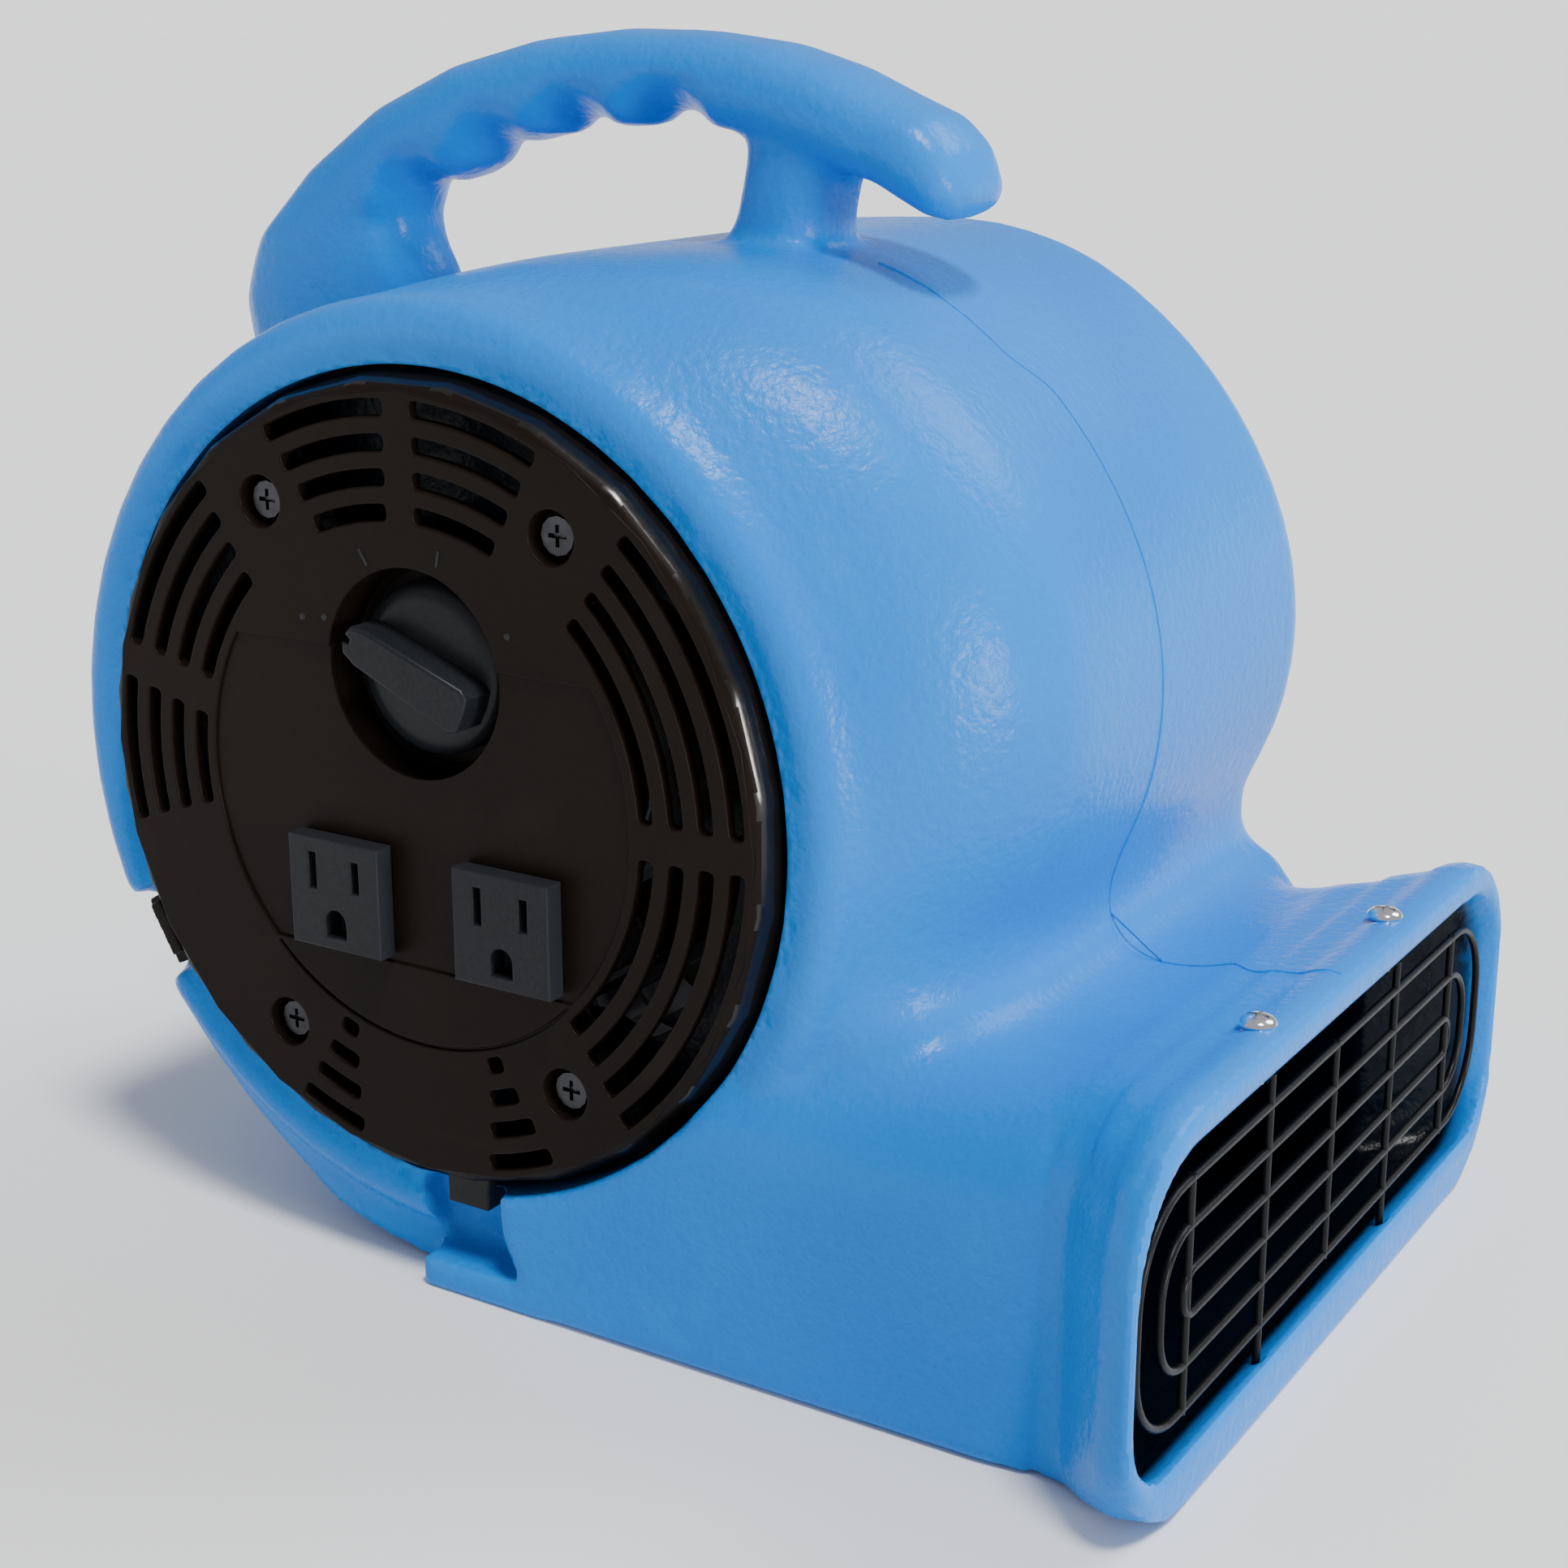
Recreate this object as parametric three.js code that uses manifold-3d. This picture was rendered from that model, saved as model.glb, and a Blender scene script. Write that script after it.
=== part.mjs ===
// Portable air mover (small carpet-drying blower) with a four-position switch and two outlets.
// Millimetres, +Z up. +X is the way the air leaves, -Y is the control side.
// Everything is drawn around the drum axis and moved onto the base at the end.
import * as THREE from 'three';
import { mergeVertices } from 'three/addons/utils/BufferGeometryUtils.js';
import Module from 'manifold-3d';

const wasm = await Module();
wasm.setup();

// ---- driving dimensions -------------------------------------------------
const AXIS_HEIGHT = 122;        // drum axis above the floor
const BODY_WIDTH = 184;         // control cover face to far cover face
const WALL = 4;                 // moulded housing wall
const SIDE_PLANE = 78;          // seats of the two covers, out from the middle
const COVER_RADIUS = 92.3;      // corners of the flat cover face
const RIM_RADIUS = 95.2;        // cover rim where it meets the housing
const COVER_SKIN = 3;
const SCREW_CIRCLE = 75;        // cover screws
const SCREW_ANGLES = [57, 123, -123, -57];
const LIP_X = 189;              // front of the outlet lip
const LIP_HALF_WIDTH = 113;
const DUCT_TOP = -36;           // top of the outlet duct, from the drum axis
const KNOB_X = 1.5;
const KNOB_Z = 28;
const KNOB_POINTER = 157.5;     // angle the pointer rests at
const BOWL_RADIUS = 24;
const OUTLET_SIZE = 26.5;       // front block of one receptacle
const OUTLETS = [[-20, -26, 'left'], [28, -26, 'right']];
const OUTLET_STEP = 2.05;       // how far the front block laps over the cover
const HANDLE_RADIUS = 164;      // outside of the grip, from the drum axis
const HANDLE_WIDTH = 33;
const HANDLE_BACK = 122.8;      // back of the handle, from the drum axis
const BLADE_COUNT = 28;
const WHEEL_RADIUS = 81;
const WIRE = 1.5;               // radius of a guard wire
const GUARD_X = 185.4;
const GUARD_SCREW_X = 181.4;    // the two screws through the duct top
const GAP = 0.3;                // clearance between neighbouring pieces

const FACE = BODY_WIDTH / 2;
const AXIS_X = (HANDLE_BACK - LIP_X) / 2;

// ---- colours ------------------------------------------------------------
const finish = (name, color, metalness, roughness) =>
  Object.assign(new THREE.MeshStandardMaterial({ color, metalness, roughness }), { name });
const BLUE = () => finish('blue polyethylene', 0x3a97dc, 0, 0.45);
const BLACK = () => finish('black plastic', 0x1b1817, 0, 0.35);
const CHARCOAL = () => finish('charcoal plastic', 0x22252a, 0, 0.4);
const CHROME = () => finish('chrome', 0xd8d8da, 1, 0.15);
const STEEL = () => finish('zinc steel', 0xa9adb2, 1, 0.35);
const DARK_STEEL = () => finish('blackened steel', 0x3a3a3c, 1, 0.4);
const WIRE_BLACK = () => finish('black coated wire', 0x141516, 0.2, 0.4);
const CAST = () => finish('cast aluminium', 0x9a9ca0, 1, 0.45);
const RUBBER = () => finish('black rubber', 0x161616, 0, 0.8);
const NYLON = () => finish('grey nylon', 0x3c3f44, 0, 0.5);

// ---- small helpers ------------------------------------------------------
const group = new THREE.Group();
group.name = 'air_mover';
const rad = THREE.MathUtils.degToRad;
const polar = (r, deg, x = 0, z = 0) => [x + r * Math.cos(rad(deg)), z + r * Math.sin(rad(deg))];

// Turns a closed three.js geometry into a solid that can be joined and cut.
function solid(geometry) {
  const plain = geometry.index ? geometry : geometry.clone();
  plain.deleteAttribute('normal');
  plain.deleteAttribute('uv');
  const g = mergeVertices(plain, 1e-4);
  const pos = g.attributes.position.array;
  const tri = Array.from(g.index.array);
  const kept = [];
  for (let i = 0; i < tri.length; i += 3) {
    const [a, b, c] = [tri[i], tri[i + 1], tri[i + 2]];
    if (a !== b && b !== c && c !== a) kept.push(a, b, c);
  }
  return new wasm.Manifold(new wasm.Mesh({
    numProp: 3, vertProperties: new Float32Array(pos), triVerts: new Uint32Array(kept),
  }));
}

// Names a finished solid, gives it a material and stands it on the base frame.
function add(name, shape, material) {
  const m = shape.getMesh();
  const g = new THREE.BufferGeometry();
  g.setAttribute('position', new THREE.BufferAttribute(new Float32Array(m.vertProperties), 3));
  g.setIndex(new THREE.BufferAttribute(new Uint32Array(m.triVerts), 1));
  g.translate(AXIS_X, 0, AXIS_HEIGHT);
  g.computeVertexNormals();
  const mesh = new THREE.Mesh(g, material);
  mesh.name = name;
  group.add(mesh);
}

const box = (x0, x1, y0, y1, z0, z1) =>
  solid(new THREE.BoxGeometry(x1 - x0, y1 - y0, z1 - z0)
    .translate((x0 + x1) / 2, (y0 + y1) / 2, (z0 + z1) / 2));

// A cylinder lying along Y between y0 and y1.
const rod = (r, y0, y1, x = 0, z = 0, sides = 32, r2 = r) =>
  solid(new THREE.CylinderGeometry(r2, r, y1 - y0, sides).translate(x, (y0 + y1) / 2, z));

// A cylinder standing along Z between z0 and z1.
const post = (r, z0, z1, x, y, sides = 16, r2 = r) =>
  solid(new THREE.CylinderGeometry(r2, r, z1 - z0, sides).rotateX(Math.PI / 2)
    .translate(x, y, (z0 + z1) / 2));

// Turns a closed outline of [radius, y] points about the Y axis. The outline runs counterclockwise.
const turned = (profile, sides = 48) => {
  const outline = [...profile, profile[0]].map(([r, y]) => new THREE.Vector2(r, y));
  return solid(new THREE.LatheGeometry(outline, sides));
};

// An outline of [x, z] points made into a plate between y0 and y1, its edges rounded inwards.
function plate(points, y0, y1, round = 0, deep = round, steps = 3) {
  const shape = new THREE.Shape(points.map(([x, z]) => new THREE.Vector2(x, z)));
  const g = new THREE.ExtrudeGeometry(shape, {
    depth: y1 - y0 - 2 * deep, bevelEnabled: round > 0, bevelSize: round,
    bevelThickness: deep, bevelSegments: steps, bevelOffset: -round, steps: 1,
  });
  return solid(g.rotateX(Math.PI / 2).translate(0, y1 - deep, 0));
}

// Joins rings of points, one ring per station, and closes both ends. Each ring turns
// right-handed about the way the stations run.
function loft(rings) {
  const n = rings[0].length;
  const last = (rings.length - 1) * n;
  const [first, end] = [rings.length * n, rings.length * n + 1];
  const middle = (ring) => [0, 1, 2].map((k) => ring.reduce((sum, p) => sum + p[k], 0) / n);
  const points = [...rings.flat(), middle(rings[0]), middle(rings[rings.length - 1])];
  const index = [];
  for (let i = 0; i < n; i++) {
    const j = (i + 1) % n;
    for (let s = 0; s + 1 < rings.length; s++) {
      const [a, b, c, d] = [s * n + i, s * n + j, (s + 1) * n + j, (s + 1) * n + i];
      index.push(a, b, c, a, c, d);
    }
    index.push(first, j, i, end, last + i, last + j);
  }
  const g = new THREE.BufferGeometry();
  g.setAttribute('position', new THREE.Float32BufferAttribute(points.flat(), 3));
  g.setIndex(index);
  return solid(g);
}

const join = (list) => wasm.Manifold.union(list);
const cut = (body, list) => body.subtract(join(list));
const spin = (shape, deg) => shape.rotate([0, -deg, 0]);
const mirrorSide = (shape) => shape.mirror([0, 1, 0]);
const curve = (keys, closed, count) =>
  new THREE.CatmullRomCurve3(keys.map(([x, z]) => new THREE.Vector3(x, 0, z)), closed, 'centripetal')
    .getPoints(count).map((p) => [p.x, p.z]);

// ---- housing ------------------------------------------------------------
// The drum grows towards the outlet: [angle, radius] of its full outline.
const DRUM = [[-10, 130], [0, 137], [10, 141.5], [20, 143], [31, 142], [42, 139.5], [54, 135.5],
  [65, 129], [77, 120.5], [92, 114.5], [120, 112.5], [150, 111.5], [180, 110.5], [205, 112], [225, 116.5],
  [240, 120.5], [255, 121.5], [266, 121.5]];
// The control side starts from a rounder outline just behind the bead.
const BEAD_RADIUS = 109;
const NEAR_LOW = [[200, 0], [215, 2], [232, 8], [248, 12], [270, 12.8], [290, 9], [310, 3],
  [325, 0]];

// Round throat between the drum and the top of the duct.
const THROAT = { x: 139.5, z: -30, radius: 12 };

// How far the control side outline stands out from a circle at an angle.
function nearRadius(deg) {
  const a = (deg + 360) % 360;
  const at = NEAR_LOW.findIndex(([key]) => key > a);
  if (at < 1) return BEAD_RADIUS;
  const [[a0, r0], [a1, r1]] = [NEAR_LOW[at - 1], NEAR_LOW[at]];
  return BEAD_RADIUS + r0 + ((r1 - r0) * (a - a0)) / (a1 - a0);
}

// Full outline of the drum with its throat over the duct and its flat underside.
function drumOutline() {
  const drum = curve(DRUM.map(([a, r]) => polar(r, a)), false, 46);
  const throat = Array.from({ length: 5 }, (_, i) =>
    polar(THROAT.radius, 262 - 20.5 * i, THROAT.x, THROAT.z));
  return [...drum, [0, -AXIS_HEIGHT], [60, -AXIS_HEIGHT], [110, -AXIS_HEIGHT], [148, -AXIS_HEIGHT],
    [153, -95], [153, -62], ...throat];
}

// Drum between the two sides. A station is [y, share of the full outline, inset].
function drumLoft(stations) {
  const outline = drumOutline().reverse();
  return loft(stations.map(([y, share, inset]) => outline.map(([x, z]) => {
    const full = Math.hypot(x, z);
    const near = nearRadius(THREE.MathUtils.radToDeg(Math.atan2(z, x)));
    const r = (near + (full - near) * share - inset) / full;
    return [x * r, y, z * r];
  })));
}
const drumOutside = () => drumLoft([[-82, 0, 0], [-77, 0.22, 0], [-68, 0.55, 0], [-56, 0.83, 0],
  [-40, 1, 0], [82, 1, 0], [87, 1, 1.2], [90.5, 1, 4], [92, 1, 8]]);
const drumInside = () => drumLoft([[-SIDE_PLANE + WALL, 0.2, WALL], [-62, 0.6, WALL], [-40, 0.97, WALL],
  [78, 1, WALL], [84, 1, WALL + 2], [87.5, 1, WALL + 8]]);

// One slice of the outlet duct at x, as a rectangle with rounded corners.
function ductSlice(x, half, top, bottom, topRound, bottomRound, steps = 5) {
  const ring = [];
  const corner = (y, z, r, start) => {
    for (let i = 0; i <= steps; i++) {
      const a = rad(start + (90 * i) / steps);
      ring.push([x, y + r * Math.cos(a), z + r * Math.sin(a)]);
    }
  };
  corner(half - topRound, top - topRound, topRound, 0);
  corner(-half + topRound, top - topRound, topRound, 90);
  corner(-half + bottomRound, bottom + bottomRound, bottomRound, 180);
  corner(half - bottomRound, bottom + bottomRound, bottomRound, 270);
  return ring;
}

function ductOutside() {
  const side = FACE;
  const stations = [
    [0, side, -44, 26, 1.5], [146, side, -42, 26, 1.5], [155, side - 1, -40, 26, 1.5],
    [160, side - 1.5, DUCT_TOP - 2, 26, 3], [165, side + 1, DUCT_TOP - 1.5, 26, 6],
    [172, side + 9, DUCT_TOP - 1, 27, 12], [179, side + 16, DUCT_TOP - 0.5, 28, 19],
    [179.6, side + 17, DUCT_TOP + 1, 28, 20], [185, LIP_HALF_WIDTH - 1, DUCT_TOP + 2, 29, 27],
    [LIP_X - 1.6, LIP_HALF_WIDTH, DUCT_TOP + 2, 29, 29],
    [LIP_X, LIP_HALF_WIDTH - 1, DUCT_TOP + 1, 28, 28],
  ];
  return loft(stations.map(([x, half, top, r, rb]) => ductSlice(x, half, top, -AXIS_HEIGHT, r, rb)));
}

function ductInside() {
  const floor = -AXIS_HEIGHT + WALL;
  const stations = [
    [60, 78, -52, floor, 20, 8], [150, FACE - WALL, -47, floor, 22, 8],
    [162, FACE - WALL, -45, floor, 22, 8], [178, 102.5, -43, floor + 2, 23, 14],
    [184, 107.5, -42, -AXIS_HEIGHT + 10, 24, 16], [LIP_X - 1.5, 109.5, -42, -AXIS_HEIGHT + 12.5, 24, 17],
    [LIP_X + 1, 110.5, -41, -AXIS_HEIGHT + 12.5, 24, 17],
  ];
  return loft(stations.map(([x, half, top, bottom, r, rb]) => ductSlice(x, half, top, bottom, r, rb)));
}

// Rounded ring that stands up around the cover on the control side.
const bead = () => turned([[94, -70], [94, -78], [96, -83.5], [99, -86.6], [103, -87.6], [107, -86.4],
  [109.8, -82.8], [111, -77], [110, -68], [107, -62]], 48);

// A rounded band between an outer and an inner edge: stations are [outer, inner, half depth].
function band(stations, sides = 14) {
  const soft = (v) => Math.sign(v) * Math.abs(v) ** 0.75;
  return loft(stations.map(([[xo, zo], [xi, zi], depth]) => Array.from({ length: sides }, (_, k) => {
    const t = (2 * Math.PI * k) / sides;
    const u = soft(Math.cos(t)) / 2;
    return [(xo + xi) / 2 + (xo - xi) * u, -depth * soft(Math.sin(t)), (zo + zi) / 2 + (zo - zi) * u];
  })));
}

// Grip from the foot behind the drum, over the hand, to the hooked nose above the outlet.
function grip() {
  const half = HANDLE_WIDTH / 2;
  const over = (deg, grow = 0) => polar(HANDLE_RADIUS + grow, deg);
  const feet = [[[-98, 40], [-52, 60]], [[-114, 66], [-54, 86]], [[-121.5, 86], [-58, 104]],
    [[-HANDLE_BACK, 96], [-63.5, 114]], [[-119, 106.5], [-65, 121]]];
  const arch = [[over(136, -2), [-58, 126.5]], [over(127, -1), [-49, 129]], [over(117), [-37, 135]],
    [over(107.5, 0.3), [-24, 139.5]], [over(98.5, 0.5), [-9, 141.5]], [over(90, 1), [4, 142.5]],
    [over(82, 2), [16, 142.5]], [over(75, 3.5), [30, 142]], [over(69, 4), [46, 138]],
    [over(63.5, 4), [60, 133.5]]];
  const nose = [[[84.5, 146.5], [69, 131.5]], [[90.5, 140.5], [76, 128]]];
  const tip = [[[93.5, 132], [83, 124.6], half - 1.5], [[93.5, 128], [87.5, 123.6], half - 6]];
  return band([...[...feet, ...arch, ...nose].map(([o, i]) => [o, i, half]), ...tip]);
}

// Post under the grip on the outlet side.
const handlePost = () => band([[[58, 150], [36, 150], 12.5], [[60, 136], [35, 136], 14],
  [[57, 123], [32.5, 123], 14.5], [[57.5, 112], [27, 114], 15], [[63, 98], [19, 102], 17]]);

// Four finger hollows under the grip.
const FINGERS = [[-54.5, 117.5, 10], [-31, 126.5, 11], [-8.5, 132, 11], [16, 133, 12]];
const fingers = () => FINGERS.map(([x, z, r]) => rod(r, -HANDLE_WIDTH, HANDLE_WIDTH, x, z, 20));

const handle = () => cut(join([grip(), handlePost()]), fingers());

// Material around one cover screw, from the side wall inwards.
const screwEar = (deg) => spin(join([rod(8.5, -SIDE_PLANE, -SIDE_PLANE + 15, SCREW_CIRCLE, 0, 12),
  box(SCREW_CIRCLE, 92, -SIDE_PLANE, -SIDE_PLANE + WALL, -8.5, 8.5)]), deg);

const SEAT_RADIUS = RIM_RADIUS + 0.4;
// Channel up the control side that the supply cord leaves through.
const CHANNEL = [[-8, -84], [-7, -96], [-5, -105], [-1, -114.5], [26, -114.5], [21, -104], [19.5, -94],
  [19.5, -84]];

function housing() {
  const foot = box(-3, 32, -FACE, FACE, -AXIS_HEIGHT, -114.5);
  const belly = box(-6, 40, -SIDE_PLANE, SIDE_PLANE, -AXIS_HEIGHT, -90);
  const outside = join([drumOutside(), ductOutside(), bead(), handle(), belly]);
  const farWall = rod(101, SIDE_PLANE - WALL, FACE, 0, 0, 48);
  const throatWall = rod(THROAT.radius + WALL, -FACE, FACE, THROAT.x, THROAT.z, 24);
  const hollow = join([cut(drumInside(), [farWall, throatWall]), ductInside()]);
  const seats = [rod(SEAT_RADIUS, -FACE - 9, -SIDE_PLANE, 0, 0, 60),
    rod(SEAT_RADIUS, SIDE_PLANE, FACE + 9, 0, 0, 60)];
  const nearHole = rod(84, -SIDE_PLANE - 1, -SIDE_PLANE + 20)
    .intersect(box(-90, 90, -100, -50, -90, 56));
  const farHole = rod(66, SIDE_PLANE - 20, SIDE_PLANE + 1);
  const channel = plate(CHANNEL, -FACE - 8, -SIDE_PLANE);
  const notch = spin(box(SEAT_RADIUS - 1, 125, -FACE - 3, -SIDE_PLANE + 2, -11, 11), 210);
  const shell = cut(join([cut(outside, [channel]), foot]), [hollow, ...seats, nearHole, farHole, notch]);
  const ears = SCREW_ANGLES.flatMap((a) => [screwEar(a), mirrorSide(screwEar(a))]);
  const bores = SCREW_ANGLES.flatMap((a) => {
    const [x, z] = polar(SCREW_CIRCLE, a);
    const bore = rod(2.3, -SIDE_PLANE - 1, -SIDE_PLANE + 14, x, z, 8);
    return [bore, mirrorSide(bore)];
  });
  const guardHoles = [-39, 39].flatMap((y) => [post(2.1, -46, -30, GUARD_SCREW_X, y, 12),
    post(WIRE + GAP, -114, -100, GUARD_X, y, 12)]);
  return cut(join([shell, ...ears]), [...bores, ...guardHoles]);
}

add('housing', housing(), BLUE());

// ---- covers -------------------------------------------------------------
const FLATS = 24;               // sides of the cover face
const HALF_FLAT = 180 / FLATS;
// A point of the many-sided cover edge; blend 1 turns the corners into a circle.
function edgePoint(i, radius, blend, y) {
  const flat = Math.cos(rad(HALF_FLAT));
  const r = radius * (i % 2 ? flat + (1 - flat) * blend : 1);
  const [x, z] = polar(r, HALF_FLAT * (1 + i));
  return [x, y, z];
}
const edgeRing = (radius, blend, y) =>
  Array.from({ length: 2 * FLATS }, (_, i) => edgePoint(2 * FLATS - 1 - i, radius, blend, y));

function coverShell() {
  const back = -SIDE_PLANE - GAP;
  const outer = loft([edgeRing(COVER_RADIUS - 0.8, 0, -FACE),
    edgeRing(COVER_RADIUS + 0.6, 0.05, -FACE + 0.8), edgeRing(COVER_RADIUS + 1.6, 0.5, -FACE + 4),
    edgeRing(RIM_RADIUS, 1, back)]);
  const inner = rod(COVER_RADIUS - COVER_SKIN, -FACE + COVER_SKIN, back + 1, 0, 0, 48,
    RIM_RADIUS - COVER_SKIN);
  return outer.subtract(inner);
}

// A curved slot at the given radius between two angles.
function slot(radius, from, to, width = 3.8) {
  const steps = Math.max(1, Math.round(Math.abs(to - from) / 12));
  const at = (r, i) => polar(r, from + (to - from) * i / steps);
  const row = (r) => Array.from({ length: steps + 1 }, (_, i) => at(r, i));
  const outline = [...row(radius + width / 2), ...row(radius - width / 2).reverse()];
  return plate(outline, -FACE - 1, -FACE + COVER_SKIN + 1);
}

const ROWS = [64, 71.7, 79.3, 87];
// Slot groups as [inner from, inner to, outer from, outer to]; rows between are spaced evenly.
const VENTS = [[66.5, 86.5, 64.9, 87.5], [93.4, 112.7, 92.4, 116], [135.3, 162.3, 131.8, 163.5],
  [170.4, 190.5, 169.2, 192.7], [3.5, 45.1, 2.7, 47.7], [-47.2, -3.8, -49.6, -2.2],
  [-112, -107.5, -115, -102.6], [-72.5, -68.5, -77.5, -65.2]];

function vents(groups) {
  return groups.flatMap(([a0, b0, a1, b1]) => ROWS.map((r, i) => {
    const t = i / (ROWS.length - 1);
    return slot(r, a0 + (a1 - a0) * t, b0 + (b1 - b0) * t);
  }));
}

const SCREW_FLOOR = -86.5;      // where a cover screw's head sits
function screwTubes() {
  return SCREW_ANGLES.map((a) => {
    const [x, z] = polar(SCREW_CIRCLE, a);
    return rod(8.4, -FACE + 1, -SIDE_PLANE - 1.8, x, z, 12);
  });
}

function screwBores() {
  return SCREW_ANGLES.flatMap((a) => {
    const [x, z] = polar(SCREW_CIRCLE, a);
    return [rod(6, -FACE - 1, SCREW_FLOOR, x, z, 16), rod(2.3, -FACE, -SIDE_PLANE, x, z, 8)];
  });
}

// Shallow field around the knob and the receptacles.
function labelRecess() {
  const half = OUTLET_SIZE / 2;
  const reach = Math.max(...OUTLETS.map(([x, z]) => Math.hypot(Math.abs(x) + half, Math.abs(z) + half)));
  const bottom = Math.min(...OUTLETS.map(([, z]) => z)) - half - 1.75;
  const disc = rod(reach + 2.5, -FACE - 1, -FACE + 0.8, 0, 0, 40);
  return disc.intersect(box(-reach - 9, reach + 9, -FACE - 2, -FACE + 0.8, bottom, 31.5));
}

const GLAND = { x0: 3, x1: 15, z0: -100, z1: -89 };

function controlCover() {
  const cup = rod(BOWL_RADIUS + 2.5, -FACE + 1, -77, KNOB_X, KNOB_Z, 40);
  const bowl = rod(BOWL_RADIUS, -FACE - 1, -80, KNOB_X, KNOB_Z, 40);
  const half = OUTLET_SIZE / 2 - OUTLET_STEP + GAP;
  const windows = OUTLETS.map(([x, z]) =>
    box(x - half, x + half, -FACE - 1, -FACE + 5, z - half, z + half));
  const glandNotch = box(GLAND.x0 - GAP, GLAND.x1 + GAP, -88.3, -77, GLAND.z0 - 1, GLAND.z1 + GAP);
  const body = join([coverShell(), cup, ...screwTubes()]);
  return cut(body, [bowl, labelRecess(), ...windows, glandNotch, ...screwBores(), ...vents(VENTS),
    rod(4.8, -81, -76, KNOB_X, KNOB_Z, 16)]);
}
add('control_cover', controlCover(), BLACK());

function farCover() {
  const spans = [[63, 87], [93, 117], [129, 171], [189, 231], [9, 51], [-51, -9], [-87, -63], [243, 267]];
  const groups = spans.map(([from, to]) => [from, to, from, to]);
  const inner = [0, 90, 180, 270].map((a) => slot(47, a + 9, a + 81, 6));
  const body = join([coverShell(), ...screwTubes()]);
  return mirrorSide(cut(body, [...screwBores(), ...vents(groups), ...inner]));
}
add('far_cover', farCover(), BLACK());

// ---- cover screws -------------------------------------------------------
function coverScrew(deg, side) {
  const [x, z] = polar(SCREW_CIRCLE, deg);
  const seat = SCREW_FLOOR - GAP;
  const head = rod(4.3, seat - 2.6, seat, x, z, 12);
  const shank = rod(2, seat - 0.5, -SIDE_PLANE + 12, x, z, 8);
  const cross = [box(x - 2.4, x + 2.4, seat - 4, seat - 1.4, z - 0.5, z + 0.5),
    box(x - 0.5, x + 0.5, seat - 4, seat - 1.4, z - 2.4, z + 2.4)];
  const screw = cut(join([head, shank]), cross);
  return side < 0 ? screw : mirrorSide(screw);
}
SCREW_ANGLES.forEach((a, i) => {
  add(`cover_screw_${i + 1}`, coverScrew(a, -1), DARK_STEEL());
  add(`far_screw_${i + 1}`, coverScrew(a, 1), DARK_STEEL());
});

// ---- knob and switch ----------------------------------------------------
function knob() {
  const r = BOWL_RADIUS - 4;
  const skirt = turned([[3.3, -86.5], [r - 3, -86.5], [r - 0.8, -86], [r, -84.6], [r, -82.6], [9.5, -82.6],
    [9.5, -85], [3.3, -85]], 32);
  const barOutline = [[5 - r, -5.6], [r - 6.5, -4.4], [r - 1.5, -2.8], [r - 1.5, 2.8], [r - 6.5, 4.4],
    [5 - r, 5.6], [2.5 - r, 3], [2.5 - r, -3]];
  const bar = plate(barOutline, -95, -84.5, 1, 1, 1);
  const bore = rod(3.3, -93, -80, 0, 0, 16);
  const index = box(r - 6.5, r, -96, -94.2, -0.7, 0.7);
  return spin(cut(join([skirt, bar]), [bore, index, rod(9.5, -85, -80, 0, 0, 24)]), KNOB_POINTER)
    .translate([KNOB_X, 0, KNOB_Z]);
}
add('knob', knob(), CHARCOAL());
add('switch_shaft', rod(3, -92.7, -62, KNOB_X, KNOB_Z, 16), STEEL());

function switchBody() {
  const body = join([box(KNOB_X - 14, KNOB_X + 14, -76.7, -56, KNOB_Z - 14, KNOB_Z + 14),
    rod(4.5, -82.3, -76, KNOB_X, KNOB_Z, 16)]);
  return cut(body, [rod(3.3, -84, -61.7, KNOB_X, KNOB_Z, 16)]);
}
add('switch_body', switchBody(), NYLON());
const nut = cut(rod(7.5, -82.2, -80.3, KNOB_X, KNOB_Z, 6), [rod(4.8, -83, -80, KNOB_X, KNOB_Z, 16)]);
add('switch_nut', nut, STEEL());

// ---- receptacles --------------------------------------------------------
// Round-topped hole for the earth pin.
function groundHole(x, z) {
  const arch = Array.from({ length: 9 }, (_, i) => polar(3, 180 - 22.5 * i, x, z + 0.4));
  return plate([...arch, [x + 3, z - 3.2], [x - 3, z - 3.2]].reverse(), -FACE - 6, -FACE + 8);
}

function receptacle([x, z]) {
  const half = OUTLET_SIZE / 2;
  const square = [[x - half, z - half], [x + half, z - half], [x + half, z + half], [x - half, z + half]];
  const rim = plate(square, -FACE - 5, -FACE + 0.5, 0.6, 0.6, 1);
  const inner = half - OUTLET_STEP;
  const body = box(x - inner, x + inner, -FACE, -FACE + 24, z - inner, z + inner);
  const blades = [box(x - 7.4, x - 5.3, -FACE - 6, -FACE + 8, z + 1, z + 9.6),
    box(x + 5.3, x + 7.4, -FACE - 6, -FACE + 8, z + 1.6, z + 9)];
  return cut(join([rim, body]), [...blades, groundHole(x, z - 7)]);
}
OUTLETS.forEach((o) => add(`receptacle_${o[2]}`, receptacle(o), CHARCOAL()));

// ---- cord gland and edge clip -------------------------------------------
function gland() {
  const { x0, x1, z0, z1 } = GLAND;
  const hole = post(3.3, z0 - 1, z1 + 1, (x0 + x1) / 2, -83.2, 16);
  return cut(box(x0, x1, -88, -SIDE_PLANE - GAP, z0, z1), [hole]);
}
add('cord_gland', gland(), RUBBER());
const clip = join([box(96.5, 108, -80, -SIDE_PLANE + 1.7, -9, 9), box(96.5, 100.5, -87, -79, -7, 7)]);
add('edge_clip', spin(clip, 210), BLACK());

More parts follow.
